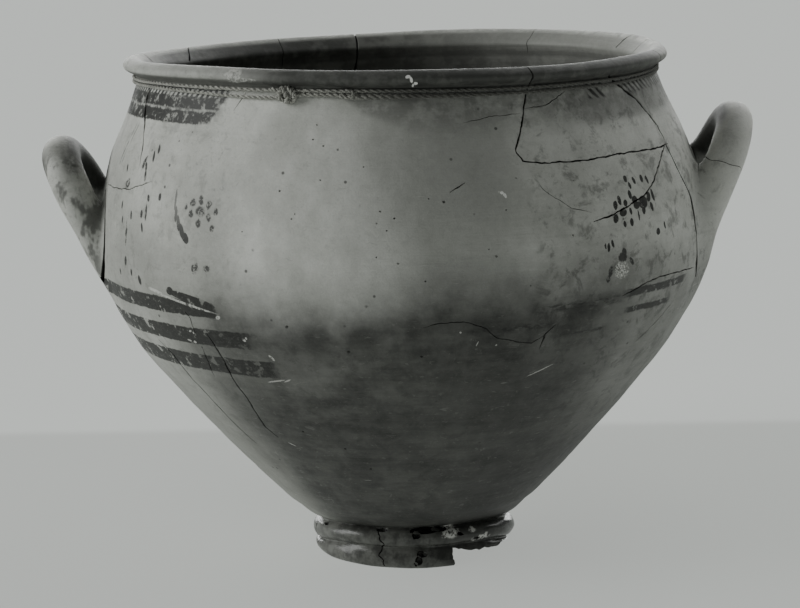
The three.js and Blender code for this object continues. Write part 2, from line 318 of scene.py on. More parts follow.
def sweep(points, radii, sides, frames=None, cap=True, phase=0.0):
    """Tube round a polyline, as vertices and faces. radii: one for all, one per point, or one per point and side."""
    pts = np.asarray(points, float)
    n = len(pts)
    t = np.gradient(pts, axis=0)
    t /= np.linalg.norm(t, axis=1, keepdims=True)
    if frames is None:
        a = np.array([0, 0, 1.0]) if abs(t[0][2]) < 0.9 else np.array([0, 1.0, 0])
        u = np.cross(t[0], a)
        u /= np.linalg.norm(u)
        us = [u]
        for i in range(1, n):
            u = us[-1] - t[i] * np.dot(us[-1], t[i])
            us.append(u / np.linalg.norm(u))
        us = np.array(us)
    else:
        us = frames
    vs = np.cross(t, us)
    radii = np.broadcast_to(np.asarray(radii, float), (n,)) if np.ndim(radii) < 2 else radii
    ang = np.linspace(0, 2 * np.pi, sides, endpoint=False) + phase
    if np.ndim(radii) == 1:
        rr = radii[:, None] * np.ones(sides)
    else:
        rr = radii
    ring = pts[:, None, :] + rr[..., None] * (np.cos(ang)[None, :, None] * us[:, None, :] + np.sin(ang)[None, :, None] * vs[:, None, :])
    verts = list(ring.reshape(-1, 3))
    faces = []
    for i in range(n - 1):
        a, b = i * sides, (i + 1) * sides
        for j in range(sides):
            k = (j + 1) % sides
            faces.append((a + j, a + k, b + k, b + j))
    if cap:
        faces.append(tuple(range(sides - 1, -1, -1)))
        faces.append(tuple((n - 1) * sides + j for j in range(sides)))
    return verts, faces


# ---------------------------------------------------------------- the pot, before breaks
def make_pot():
    phi = np.arange(RING) * 360.0 / RING - 180.0
    half = phi[::2]
    verts, faces, rings = [], [], []

    def ring(angles, r, z):
        start = len(verts)
        verts.extend(place(skin(angles, r, z)))
        rings.append((start, len(angles)))

    # underside of the foot: axis, recess, ring
    verts.append(place(np.array([0, 0, 7.0])))
    for r, z in ((14, 7.2), (28, 7.6), (39, 7.2), (43.5, 5.6), (46.2, 2.4), (47.4, 0.5)):
        ring(half, r, z * 1.0)
    for r, z in ROWS:
        ring(phi, r, z)
    for r, z in IN_ROWS:
        ring(half, r, z)
    last = len(verts)
    verts.append(place(np.array([0, 0, 33.0])))

    def join(a, b):
        (s, n), (t, m) = a, b
        if n == m:
            for j in range(n):
                k = (j + 1) % n
                faces.append((s + j, s + k, t + k, t + j))
        elif n == 2 * m:
            for j in range(m):
                f0, f1, f2 = s + 2 * j, s + 2 * j + 1, s + (2 * j + 2) % n
                c0, c1 = t + j, t + (j + 1) % m
                faces.extend([(f0, f1, c0), (f1, c1, c0), (f1, f2, c1)])
        else:
            for j in range(n):
                f0, f1, f2 = t + 2 * j, t + 2 * j + 1, t + (2 * j + 2) % m
                c0, c1 = s + j, s + (j + 1) % n
                faces.extend([(f1, f0, c0), (c1, f1, c0), (f2, f1, c1)])

    s, n = rings[0]
    for j in range(n):
        faces.append((0, s + (j + 1) % n, s + j))
    for a, b in zip(rings, rings[1:]):
        join(a, b)
    s, n = rings[-1]
    for j in range(n):
        faces.append((last, s + j, s + (j + 1) % n))
    ob = make_mesh("pot", verts, faces)
    return outward(ob)


# ---------------------------------------------------------------- handles
def handle_line(h):
    """Centre line of a loop handle, row-frame mm."""
    s, c = math.sin(math.radians(h["slope"])), math.cos(math.radians(h["slope"]))
    half, mid = (h["back"] - h["front"]) / 2, (h["back"] + h["front"]) / 2
    arch = half * 1.12
    straight = h["rise"] - arch
    depth = 26.0

    def at(t, y):
        inward = 0.014 * max(0, 12 - t) ** 2
        return [h["side"] * (h["rx"] + s * t - inward * c), y, h["rz"] + c * t + inward * s * 0.4]
    pts = []
    for i in range(5):
        k = i / 5
        pts.append(at(-depth + (straight + depth) * k, h["front"] - 3.5 * (1 - float(ease(k * 1.6)))))
    for i in range(11):
        a = math.pi * i / 10
        pts.append(at(straight + arch * math.sin(a), mid - half * math.cos(a)))
    for i in range(4, -1, -1):
        k = i / 5
        pts.append(at(-depth + (straight + depth) * k, h["back"] + 3.5 * (1 - float(ease(k * 1.6)))))
    line = smooth_line(np.array(pts), 2.6)
    return line + np.array([AXIS[0], AXIS[1], 0.0])


LINES = {k: handle_line(h) for k, h in HANDLES.items()}


def limb_radius(name, line):
    s = np.linspace(0, 1, len(line))
    side = HANDLES[name]["side"]
    return LIMB_R + 0.25 * np.sin(s * 21 + side) + 0.15 * np.sin(s * 47 + 2 * side) + 0.4 * np.exp(-((s - 0.5) / 0.12) ** 2)


def dist_line(p, line, radii):
    """Signed distance of points p (mm) to a round-limbed polyline."""
    best = np.full(len(p), 1e9)
    for i in range(len(line) - 1):
        a, b = line[i], line[i + 1]
        ab = b - a
        t = clamp01(((p - a) @ ab) / (ab @ ab))
        d = np.linalg.norm(p - (a + t[:, None] * ab), axis=1) - (radii[i] + (radii[i + 1] - radii[i]) * t)
        best = np.minimum(best, d)
    return best


def dist_body(p):
    """Signed distance of row-frame points (mm) to the body's outside, near the shoulder."""
    u = unsettle(p - np.array([AXIS[0], AXIS[1], 0.0]))
    z = u[:, 2]
    phi = np.degrees(np.arctan2(u[:, 0], -u[:, 1]))
    r = body_radius(z) + wobble(phi, z)
    slope = (body_radius(z + 0.5) - body_radius(z - 0.5))
    return (np.hypot(u[:, 0], u[:, 1]) - r) / np.sqrt(1 + slope ** 2)


def make_limbs():
    verts, faces = [], []
    for name, line in LINES.items():
        v, f = sweep(line, limb_radius(name, line), 30)
        o = len(verts)
        verts += v
        faces += [tuple(o + i for i in q) for q in f]
    ob = outward(make_mesh("limbs", np.array(verts) * MM, faces))
    # each limb ends inside the wall
    phi = np.arange(96) * 360.0 / 96
    zs = np.linspace(120, 292, 44)
    vs, fs = [], []
    for z in zs:
        r = body_radius(z) - 3.6
        p = np.radians(phi)
        vs.extend(place(np.stack([r * np.sin(p), -r * np.cos(p), np.full_like(p, z)], -1)))
    for i in range(len(zs) - 1):
        for j in range(96):
            k = (j + 1) % 96
            fs.append((i * 96 + j, i * 96 + k, (i + 1) * 96 + k, (i + 1) * 96 + j))
    fs.append(tuple(range(95, -1, -1)))
    fs.append(tuple((len(zs) - 1) * 96 + j for j in range(96)))
    core = outward(make_mesh("core", vs, fs))
    return combine(ob, core, "DIFFERENCE")


def blend_roots(ob):
    """Rounds the clay in where each limb meets the wall."""
    radii = {k: limb_radius(k, l) for k, l in LINES.items()}
    bm = bmesh.new()
    bm.from_mesh(ob.data)
    bmesh.ops.triangulate(bm, faces=bm.faces)
    for _ in range(2):
        bm.verts.ensure_lookup_table()
        co = np.array([v.co for v in bm.verts]) / MM
        near = np.zeros(len(co), bool)
        zone = (np.abs(co[:, 0]) > 140) & (np.abs(co[:, 1]) < 80) & (co[:, 2] > 140) & (co[:, 2] < 270)
        idx = np.where(zone)[0]
        db = dist_body(co[idx])
        dt = np.minimum(dist_line(co[idx], LINES["left"], radii["left"]), dist_line(co[idx], LINES["right"], radii["right"]))
        near[idx] = (np.abs(db) < 11) & (np.abs(dt) < 11)
        bm.edges.ensure_lookup_table()
        es = [e for e in bm.edges if near[e.verts[0].index] and near[e.verts[1].index] and e.calc_length() > 0.0026]
        if es:
            bmesh.ops.subdivide_edges(bm, edges=es, cuts=1)
            bmesh.ops.triangulate(bm, faces=bm.faces)
        bm.verts.index_update()
    bm.to_mesh(ob.data)
    bm.free()
    co = coords(ob) / MM
    for name, h in HANDLES.items():
        k = h["k"]
        sel = np.where((co[:, 0] * h["side"] > 140) & (np.abs(co[:, 1]) < 85) & (co[:, 2] > 135) & (co[:, 2] < 280))[0]
        p = co[sel].copy()

        def field(q):
            a, b = dist_body(q), dist_line(q, LINES[name], radii[name])
            hh = clamp01(0.5 + 0.5 * (b - a) / k)
            return b + (a - b) * hh - k * hh * (1 - hh), a, b
        f, a, b = field(p)
        live = (np.abs(a - b) < k) & (np.minimum(a, b) > -1.0)
        q = p[live]
        for _ in range(5):
            f = field(q)[0]
            g = np.stack([(field(q + e)[0] - field(q - e)[0]) / 0.4 for e in np.eye(3) * 0.2], -1)
            g /= np.maximum(np.linalg.norm(g, axis=1, keepdims=True), 0.3)
            q = q - g * f[:, None] * 0.8
        p[live] = q
        co[sel] = p
    set_coords(ob, co * MM)
    # even the seam out
    bm = bmesh.new()
    bm.from_mesh(ob.data)
    bm.verts.ensure_lookup_table()
    co2 = np.array([v.co for v in bm.verts]) / MM
    zone = np.where((np.abs(co2[:, 0]) > 140) & (np.abs(co2[:, 1]) < 85) & (co2[:, 2] > 135) & (co2[:, 2] < 280))[0]
    db = dist_body(co2[zone])
    dt = np.minimum(dist_line(co2[zone], LINES["left"], radii["left"]), dist_line(co2[zone], LINES["right"], radii["right"]))
    pick = [bm.verts[i] for i, a, b in zip(zone, db, dt) if abs(a - b) < 8 and min(a, b) > -0.8]
    for _ in range(3):
        bmesh.ops.smooth_vert(bm, verts=pick, factor=0.4, use_axis_x=True, use_axis_y=True, use_axis_z=True)
    bm.to_mesh(ob.data)
    bm.free()
    return ob


# ---------------------------------------------------------------- cracks, pits and breaks
rng = np.random.default_rng(7)


def cut_along(p, n, width, depth, high=1.0):
    """A V-section blade along points p with outward normals n (mm)."""
    p, n = np.asarray(p, float), np.asarray(n, float)
    t = np.gradient(p, axis=0)
    t /= np.linalg.norm(t, axis=1, keepdims=True)
    s = np.cross(t, n)
    s /= np.linalg.norm(s, axis=1, keepdims=True)
    w = np.broadcast_to(np.asarray(width, float), (len(p),))[:, None]
    d = np.broadcast_to(np.asarray(depth, float), (len(p),))[:, None]
    h = np.broadcast_to(np.asarray(high, float), (len(p),))[:, None]
    top = 0.5 * w * (1 + 0.35 * h / d)
    ring = np.stack([p + n * h + s * top, p + s * w * 0.5, p - n * d + s * w * 0.1, p - n * d - s * w * 0.1, p - s * w * 0.5, p + n * h - s * top], 1)
    verts = list(ring.reshape(-1, 3))
    faces = []
    m = 6
    for i in range(len(p) - 1):
        a, b = i * m, (i + 1) * m
        for j in range(m):
            k = (j + 1) % m
            faces.append((a + j, a + k, b + k, b + j))
    faces.append(tuple(range(m - 1, -1, -1)))
    faces.append(tuple((len(p) - 1) * m + j for j in range(m)))
    return verts, faces


def crack_path(pts, jitter=0.34, step=1.7):
    """(phi, z) corners to a slightly wandering line on the outside."""
    a = np.asarray(pts, float)
    scale = math.pi / 180 * 175
    q = a.copy()
    q[:, 0] *= scale
    q = resample(q, step)
    w = np.zeros((len(q), 2))
    for f, amp in ((0.9, 0.5), (0.33, 1.0)):
        ph = rng.uniform(0, 6.28, 2)
        s = np.arange(len(q)) * step
        w += amp * np.stack([np.sin(s * f + ph[0]), np.sin(s * f * 1.3 + ph[1])], -1)
    w += rng.normal(0, 0.6, w.shape)
    fade = np.minimum(1, np.minimum(np.arange(len(q)), np.arange(len(q))[::-1]) / 3)[:, None]
    q = q + w * jitter * 0.5 * fade
    q[:, 0] /= scale
    return q


# (layer, width, depth, [(phi, z) ...]) ; layers keep crossing cracks in separate cuts
CRACKS = [
    (0, 1.7, 2.0, [(-65.9, 299.0), (-65.6, 286.4), (-62.6, 274.0), (-61.6, 269.5)]),
    (1, 0.9, 1.1, [(-61.9, 270.6), (-60.4, 265.0), (-59.3, 258.6), (-58.6, 252.0)]),
    (0, 0.5, 0.7, [(-76.4, 236.6), (-70.0, 236.4), (-61.5, 237.9), (-52.7, 244.9)]),
    (1, 0.6, 0.8, [(-32.1, 297.4), (-33.2, 292.0), (-34.7, 286.3)]),
    (0, 0.9, 1.2, [(-56.4, 151.0), (-54.9, 146.0), (-53.7, 142.2), (-52.6, 125.5), (-51.7, 113.4), (-49.9, 93.5), (-48.3, 83.7)]),
    (0, 0.8, 1.0, [(-43.6, 173.5), (-42.6, 169.7), (-42.4, 160.2)]),
    (1, 0.6, 0.9, [(-42.2, 152.7), (-42.4, 147.7), (-43.3, 132.5)]),
    (0, 0.9, 1.2, [(-39.4, 161.3), (-38.6, 154.0), (-38.0, 146.3), (-38.0, 131.2), (-37.6, 119.9), (-38.3, 99.4), (-36.2, 92.4)]),
    (0, 0.9, 1.5, [(28.2, 301.0), (27.7, 296.0), (25.5, 281.8), (24.1, 273.0), (22.2, 264.3), (23.6, 258.7), (27.3, 257.1), (36.1, 256.4), (47.0, 257.5), (60.6, 256.3), (65.0, 257.0)]),
    (1, 1.5, 1.9, [(50.2, 301.0), (53.8, 295.4), (60.3, 283.1), (63.9, 268.3), (64.2, 259.5)]),
    (3, 0.6, 0.9, [(73.7, 239.5), (72.0, 231.0), (70.0, 222.3)]),
    (3, 0.9, 1.4, [(64.0, 257.8), (61.1, 253.8), (57.0, 246.0), (54.1, 239.0), (50.4, 232.6), (45.5, 228.6), (40.8, 224.6), (35.9, 222.0)]),
    (2, 0.5, 0.7, [(26.4, 286.8), (31.9, 288.0), (33.4, 290.1), (37.9, 295.2)]),
    (3, 0.45, 0.6, [(12.9, 280.6), (18.5, 283.6), (25.2, 284.3)]),
    (2, 0.45, 0.6, [(25.2, 248.4), (26.2, 242.8), (31.3, 231.3), (35.8, 227.3)]),
    (2, 0.7, 1.0, [(42.0, 176.6), (49.2, 182.4), (53.1, 183.5), (59.1, 183.1), (67.4, 181.6)]),
    (2, 0.45, 0.6, [(2.8, 169.1), (5.4, 171.2), (7.4, 171.9), (11.3, 170.8), (13.7, 167.3), (16.3, 160.6), (23.0, 155.1), (26.0, 160.7)]),
    (2, 0.9, 1.0, [(27.6, 165.5), (25.6, 160.0), (25.0, 151.0)]),
    (2, 0.45, 0.6, [(60.5, 165.0), (54.5, 152.0), (50.5, 143.0)]),
    (3, 1.1, 0.9, [(8.7, 243.8), (9.9, 245.9), (11.6, 248.8)]),
    # the back and the far side, in keeping
    (0, 0.8, 1.3, [(150.0, 300.0), (152.0, 280.0), (147.0, 258.0), (150.0, 236.0), (158.0, 214.0), (156.0, 190.0), (149.0, 168.0)]),
    (1, 0.7, 1.1, [(150.5, 237.0), (140.0, 232.0), (128.0, 236.0), (118.0, 230.0), (110.0, 221.0)]),
    (1, 0.7, 1.1, [(157.8, 212.0), (172.0, 205.0), (179.0, 198.0)]),
    (2, 0.7, 1.0, [(-176.0, 300.0), (-171.0, 284.0), (-173.0, 262.0), (-166.0, 240.0), (-168.0, 216.0), (-160.0, 190.0), (-164.0, 160.0), (-158.0, 128.0)]),
    (3, 0.6, 0.9, [(-167.0, 239.0), (-152.0, 244.0), (-138.0, 238.0), (-124.0, 243.0), (-112.0, 236.0)]),
    (3, 0.6, 0.9, [(-160.6, 189.0), (-146.0, 182.0), (-132.0, 186.0), (-118.0, 176.0)]),
    (0, 0.6, 0.9, [(100.0, 160.0), (112.0, 150.0), (126.0, 152.0), (139.0, 140.0), (146.0, 118.0)]),
]

# small pits: (phi, z, radius)
PITS = [(-15.8, 280.1, .7), (-16.4, 272.3, .6), (-14.2, 269.0, .9), (-11.4, 267.3, .9), (-6.5, 258.2, .6), (-14.4, 251.1, .6),
        (-22.0, 244.8, .8), (-18.9, 232.7, .6), (-19.5, 230.0, .6), (-3.7, 234.4, .8), (-1.3, 230.6, .7), (-4.4, 228.1, .7),
        (-2.7, 224.0, .6), (4.9, 240.8, .6), (7.5, 238.9, 1.0), (-4.6, 209.7, .7), (-1.0, 206.2, .8), (-6.7, 182.4, 1.1),
        (-10.7, 155.1, 1.2), (2.5, 151.7, .9), (-17.4, 88.1, .9), (-12.0, 73.6, .9), (-27.0, 99.0, .8), (-21.5, 169.4, 1.1),
        (18.6, 233.0, .5), (31.0, 216.0, .9), (14.8, 212.0, .5), (22.0, 190.0, .5), (-29.0, 222.0, .5), (3.5, 196.0, .6),
        (16.0, 208.0, .9), (21.3, 250.0, .5), (-47.5, 268.0, .6), (33.0, 246.0, .5)]


def view_frame():
    """The camera's place (metres) and its right, up and forward directions."""
    pitch, roll = math.radians(11.72), math.radians(0.95)
    fwd = Vector((0, math.cos(pitch), -math.sin(pitch)))
    right0 = Vector((1, 0, 0))
    up0 = right0.cross(fwd)
    right = math.cos(roll) * right0 - math.sin(roll) * up0
    up = math.sin(roll) * right0 + math.cos(roll) * up0
    return Vector(((-2.12 + AXIS[0]) * MM, (-1600 + AXIS[1]) * MM, 484.67 * MM)), right, up, fwd


def seen_line(whole, pts, step=1.8):
    """Where a line drawn on the front view falls on the clay: points and cutting directions (mm)."""
    eye, right, up, fwd = view_frame()
    q = resample(np.asarray(pts, float), step / 0.62)
    P, N = [], []
    for x, y in q:
        d = (fwd * 2632.5 + right * (x - 400) - up * (y - 304)).normalized()
        loc, nor, _, _ = whole.ray_cast(eye, d)
        if loc is None:
            continue
        P.append(np.array(loc) / MM)
        n = np.array(nor) - 0.9 * np.array(d)
        N.append(n / np.linalg.norm(n))
    P, N = np.array(P), np.array(N)
    for _ in range(3):
        P[1:-1] = 0.5 * P[1:-1] + 0.25 * (P[:-2] + P[2:])
        N[1:-1] = 0.5 * N[1:-1] + 0.25 * (N[:-2] + N[2:])
    return P, N / np.linalg.norm(N, axis=1, keepdims=True)


def make_cutters(whole):
    layers = {}

    def add(layer, vf):
        v, f = vf
        V, F = layers.setdefault(layer, ([], []))
        o = len(V)
        V += list(v)
        F += [tuple(o + i for i in q) for q in f]

    for layer, w, d, pts in CRACKS:
        q = crack_path(pts)
        p, n = outside(q[:, 0], q[:, 1])
        k = np.arange(len(q))
        taper = np.clip(np.minimum(k + 1.2, k[::-1] + 1.2) / 5.0, 0.3, 1.0)
        wide = w * taper * (1 + 0.22 * np.sin(k * 0.9 + w * 9) + 0.12 * np.sin(k * 2.3))
        far = pts[0][0] > 60 or pts[-1][0] > 60
        add(layer, cut_along(p, n, wide * 1.25, d * (0.5 + 0.5 * taper), 5.0 if far else 1.0))
    # the lip's own cracks: straight over the rim; (phi at the outside, phi at the inside, width)
    for layer, a, b, w, down in ((4, 28.2, 26.8, 1.1, 0), (4, -76.5, -78.0, 0.8, 0), (4, -130.0, -118.0, 1.2, 0), (4, -171.0, -169.5, 1.7, 270),
                                 (4, 106.5, 111.0, 1.3, 0), (5, 72.5, 71.5, 0.9, 0), (4, -101.0, -97.0, 1.0, 0), (5, 97.0, 99.0, 0.7, 0),
                                 (4, 143.0, 144.5, 0.4, 290), (5, -151.0, -150.0, 0.5, 288)):
        rows = OUT[(OUT[:, 1] > 299.6) & (OUT[:, 0] > 148.9)]
        if down:
            rows = np.vstack([OUT[(OUT[:, 1] > 294.6) & ((OUT[:, 1] > 300.2) | (OUT[:, 0] < 152))][1:], IN_ROWS[IN_ROWS[:, 1] > down]])
        rows = resample(rows, 1.2)
        k = np.linspace(0, 1, len(rows))
        ph = a + (b - a) * k + 0.10 * np.sin(k * 11 + a) + 0.07 * np.sin(k * 27)
        p = place(skin(ph, rows[:, 0], rows[:, 1])) / MM
        t = np.gradient(p, axis=0)
        t /= np.linalg.norm(t, axis=1, keepdims=True)
        c = np.cross(place(skin(ph + 0.3, rows[:, 0], rows[:, 1])) - place(skin(ph - 0.3, rows[:, 0], rows[:, 1])), t)
        c /= np.linalg.norm(c, axis=1, keepdims=True)
        add(layer, cut_along(p, c, w * (1 + 0.2 * np.sin(k * 19 + a)), 1.1 + 0.3 * np.sin(k * 9), 0.8))
    # cracks down the foot
    for a0, top, w in ((-19.0, 23.0, 0.8), (-76.0, 21.5, 0.8)):
        rows = resample(OUT[(OUT[:, 1] < top) & (OUT[:, 0] > 58) & (OUT[:, 1] > 1.2)], 1.3)
        ph = a0 + 1.3 * np.sin(rows[:, 1] * 0.55 + a0) + 0.7 * np.sin(rows[:, 1] * 1.4)
        p = place(skin(ph, rows[:, 0], rows[:, 1])) / MM
        q = np.radians(ph)
        n = np.stack([np.sin(q), -np.cos(q), np.full_like(q, 0.15)], -1)
        add(4, cut_along(p, n / np.linalg.norm(n, axis=1, keepdims=True), w, 1.6, 1.6))
    # a ring crack across the right handle
    line = LINES["right"]
    i = int(len(line) * 0.360)
    t = line[i + 1] - line[i - 1]
    t /= np.linalg.norm(t)
    u = np.cross(t, [0, 0, 1.0])
    u /= np.linalg.norm(u)
    v = np.cross(t, u)
    a = np.linspace(0, 2 * np.pi, 49)[:-1]
    rr = limb_radius("right", line)[i]
    nn = np.cos(a)[:, None] * u + np.sin(a)[:, None] * v
    pp = line[i] + nn * rr + t * (0.9 * np.sin(a * 2 + 1) + 0.4 * np.sin(a * 5))[:, None]
    V, F = [], []
    for p, n in zip(pp, nn):
        V += [p + n * 1.0 + t * 0.45, p - n * 1.3, p + n * 1.0 - t * 0.45]
    m = len(pp)
    for j in range(m):
        k = (j + 1) % m
        for q in range(3):
            r = (q + 1) % 3
            F.append((j * 3 + q, j * 3 + r, k * 3 + r, k * 3 + q))
    add(4, (V, F))
    # the open joints beside the handles' roots
    p, n = seen_line(whole, [(105.8, 189), (105.4, 205), (105.0, 220), (104.6, 240), (103.8, 260), (102.8, 275), (102.2, 284)])
    k = np.linspace(0, 1, len(p))
    add(5, cut_along(p, n, 1.4 + 2.4 * k ** 1.3 + 0.2 * np.sin(k * 40), 3.2 + 1.2 * k, 2.6))
    p, n = seen_line(whole, [(665.9, 144.8), (671.5, 156.0), (678.4, 170.9), (685.0, 184.0), (690.9, 195.9), (693.6, 211.8), (696.6, 234.5), (697.2, 257.0), (695.9, 276.5)])
    k = np.linspace(0, 1, len(p))
    w = 0.9 + 1.3 * np.exp(-((k - 0.44) / 0.07) ** 2) + 0.7 * ease((k - 0.4) / 0.1) * ease((0.72 - k) / 0.1) + 1.9 * np.exp(-((k - 0.90) / 0.07) ** 2)
    add(5, cut_along(p, n, w * 1.3 + 0.14 * np.sin(k * 50), 2.2 + w * 0.8, 2.2))
    return layers


def ball(center, n, size, seed, rough=0.25, detail=2):
    """A lumpy ellipsoid, its third axis along n."""
    bm = bmesh.new()
    bmesh.ops.create_icosphere(bm, subdivisions=detail, radius=1.0)
    v = np.array([q.co for q in bm.verts])
    f = [tuple(x.index for x in q.verts) for q in bm.faces]
    bm.free()
    g = np.random.default_rng(seed)
    k = g.normal(0, 1, (5, 3)) * 2.2
    ph = g.uniform(0, 6.28, 5)
    v = v * (1 + rough * np.mean(np.sin(v @ k.T + ph), axis=1, keepdims=True) * 1.6)
    n = np.asarray(n, float) / np.linalg.norm(n)
    a = np.cross(n, [0, 0, 1.0])
    a /= np.linalg.norm(a)
    b = np.cross(n, a)
    return v[:, :1] * size[0] * a + v[:, 1:2] * size[1] * b + v[:, 2:] * size[2] * n + np.asarray(center, float), f


def make_pits():
    V, F = [], []

    def add(v, f):
        o = len(V)
        V.extend(v)
        F.extend(tuple(o + i for i in q) for q in f)
    for i, (a, z, r) in enumerate(PITS):
        p, n = outside(a, z)
        add(*ball(p, n, (r * 1.15, r, 0.62), i, 0.3, 1))
    g = np.random.default_rng(11)
    for i in range(46):
        a, z = g.uniform(95, 265), g.uniform(60, 285)
        p, n = outside(a, z)
        r = g.uniform(0.5, 1.2)
        add(*ball(p, n, (r * 1.2, r, 0.62), 100 + i, 0.3, 1))
    # chips: out of the foot's edge, the roll's top and the lip
    for i, (a, r, z, s) in enumerate((
            (2.4, 61.9, 5.6, (2.3, 3.2, 2.8)), (4.0, 61.8, 9.4, (3.4, 2.2, 2.8)), (0.6, 61.8, 3.0, (1.1, 1.9, 1.8)), (-18.6, 60.0, 22.6, (4.6, 2.2, 3.0)), (6.5, 60.4, 22.0, (8.6, 2.5, 3.8)),
            (1.2, 62.4, 19.8, (2.6, 3.0, 2.6)), (14.0, 60.2, 22.4, (5.4, 2.0, 3.2)), (26.0, 61.0, 18.6, (3.0, 1.7, 2.6)), (37.0, 62.4, 14.6, (4.4, 1.7, 2.2)), (-62, 60.6, 21.8, (3.4, 1.2, 1.8)),
            (-100, 61.6, 3.0, (3.0, 2.0, 1.2)), (150, 61.4, 4.0, (5.0, 2.6, 1.6)))):
        u = skin(a, r, z)
        p = place(u) / MM
        n = np.array([math.sin(math.radians(a)), -math.cos(math.radians(a)), 0.35])
        add(*ball(p, n, s, 300 + i, 0.35, 2))
    for i, (a, r, z, s) in enumerate(((142.0, 165.2, 306.0, (3.4, 2.0, 1.0)), (-130.0, 165.0, 307.0, (2.4, 2.2, 0.9)))):
        p = place(skin(a, r, z)) / MM
        n = np.array([math.sin(math.radians(a)), -math.cos(math.radians(a)), 0.1])
        add(*ball(p, n, s, 400 + i, 0.3, 2))
    return outward(make_mesh("pits", np.array(V) * MM, F))


def make_break():
    """The piece gone from the foot ring, front right."""
    nx, ny, nz = 40, 14, 10
    g = np.random.default_rng(3)
    k = g.normal(0, 1, (7, 3))
    ph = g.uniform(0, 6.28, 7)
    verts, index = [], {}
    for i in range(nx + 1):
        for j in range(ny + 1):
            for l in range(nz + 1):
                if i in (0, nx) or j in (0, ny) or l in (0, nz):
                    a = 23.0 + (103.0 - 23.0) * i / nx
                    t = i / nx
                    r_in = 40.0 + 1.6 * math.sin(t * 9) + 0.9 * math.sin(t * 21 + 1)
                    r = r_in + (72 - r_in) * j / ny
                    top = float(np.interp(a, (23, 30, 37, 45, 60, 75, 90, 103), (11.0, 9.9, 8.6, 7.2, 6.4, 5.4, 4.0, 3.2))) + 0.35 * math.sin(a * 0.31) + 0.3 * math.sin(a * 0.83 + 2)
                    z = -5 + (top + 5) * l / nz
                    p = np.array([r * math.sin(math.radians(a)) + FOOT_SHIFT, -r * math.cos(math.radians(a)), z])
                    rough = np.sin(k @ (p * 0.55) + ph).mean() * 1.5 + np.sin(k @ (p * 1.7) + ph * 2).mean() * 0.8
                    p = p + rough * np.array([0.8, 0.5, 0.7]) * (1 if l > 0 else 0.4)
                    index[(i, j, l)] = len(verts)
                    verts.append(p + np.array([AXIS[0], AXIS[1], 0]))
    faces = []

    def quad(a, b, c, d):
        faces.append(tuple(index[q] for q in (a, b, c, d)))
    for i in range(nx):
        for j in range(ny):
            for l in (0, nz):
                quad((i, j, l), (i + 1, j, l), (i + 1, j + 1, l), (i, j + 1, l))
    for i in range(nx):
        for l in range(nz):
            for j in (0, ny):
                quad((i, j, l), (i + 1, j, l), (i + 1, j, l + 1), (i, j, l + 1))
    for j in range(ny):
        for l in range(nz):
            for i in (0, nx):
                quad((i, j, l), (i, j + 1, l), (i, j + 1, l + 1), (i, j, l + 1))
    return outward(make_mesh("gone", np.array(verts) * MM, faces))


def make_krater():
    pot = make_pot()
    combine(pot, make_limbs(), "UNION")
    blend_roots(pot)
    whole = BVHTree.FromObject(pot, bpy.context.evaluated_depsgraph_get())
    for layer, (v, f) in sorted(make_cutters(whole).items()):
        combine(pot, outward(make_mesh(f"cut{layer}", np.array(v) * MM, f)), "DIFFERENCE")
    combine(pot, make_pits(), "DIFFERENCE")
    combine(pot, make_break(), "DIFFERENCE")
    pot.name = "krater_body"
    pot.data.name = "krater_body"
    me = pot.data
    co = coords(pot)
    up = upright(co)
    deep = np.zeros(len(co), np.float32)
    for i, c in enumerate(co):
        q = whole.find_nearest(Vector(c))
        deep[i] = min(4.0, q[3] / MM)
    radii = {k: limb_radius(k, l) for k, l in LINES.items()}
    hand = np.full(len(co), 30.0, np.float32)
    sel = np.where(np.abs(co[:, 0]) > 0.15)[0]
    p = co[sel] / MM
    hand[sel] = np.minimum(dist_line(p, LINES["left"], radii["left"]), dist_line(p, LINES["right"], radii["right"]))
    a = me.attributes.new("upright_mm", "FLOAT_VECTOR", "POINT")
    a.data.foreach_set("vector", up.astype(np.float32).ravel())
    a = me.attributes.new("depth_mm", "FLOAT", "POINT")
    a.data.foreach_set("value", deep)
    rr = np.hypot(up[:, 0], up[:, 1])
    outer = np.where(up[:, 2] < 299.0, rr > body_radius(up[:, 2]) - 4.5, rr > 158.0)
    nn = np.zeros(len(co) * 3)
    me.vertices.foreach_get("normal", nn)
    nn = nn.reshape(-1, 3)
    # painted shade: handle faces turned towards the wall and downwards, and the wall between each handle's roots, get a
    # mask for darkening
    away = -np.sign(co[:, 0]) * nn[:, 0] * 0.9 - 0.25 * nn[:, 2]
    ymm = co[:, 1] / MM - AXIS[1]
    handle_shade = (hand < 5) * ease((away + 0.10) / 0.55) * (np.abs(co[:, 0]) > 0.165) * ease((ymm + 27) / 12)
    wall = (np.abs(co[:, 0]) > 0.14) * ease((27 - np.abs(ymm)) / 10) * ease((up[:, 2] - 186) / 12) * ease((262 - up[:, 2]) / 16) * (hand > -1)
    handle_shade = np.maximum(handle_shade, wall * 0.9)
    a = me.attributes.new("handle_shade", "FLOAT", "POINT")
    a.data.foreach_set("value", handle_shade.astype(np.float32))
    a = me.attributes.new("outer", "FLOAT", "POINT")
    a.data.foreach_set("value", outer.astype(np.float32))
    a = me.attributes.new("limb_mm", "FLOAT", "POINT")
    a.data.foreach_set("value", np.clip(hand, -5, 30).astype(np.float32))
    me.polygons.foreach_set("use_smooth", np.ones(len(me.polygons), bool))
    me.set_sharp_from_angle(angle=math.radians(38))
    return pot


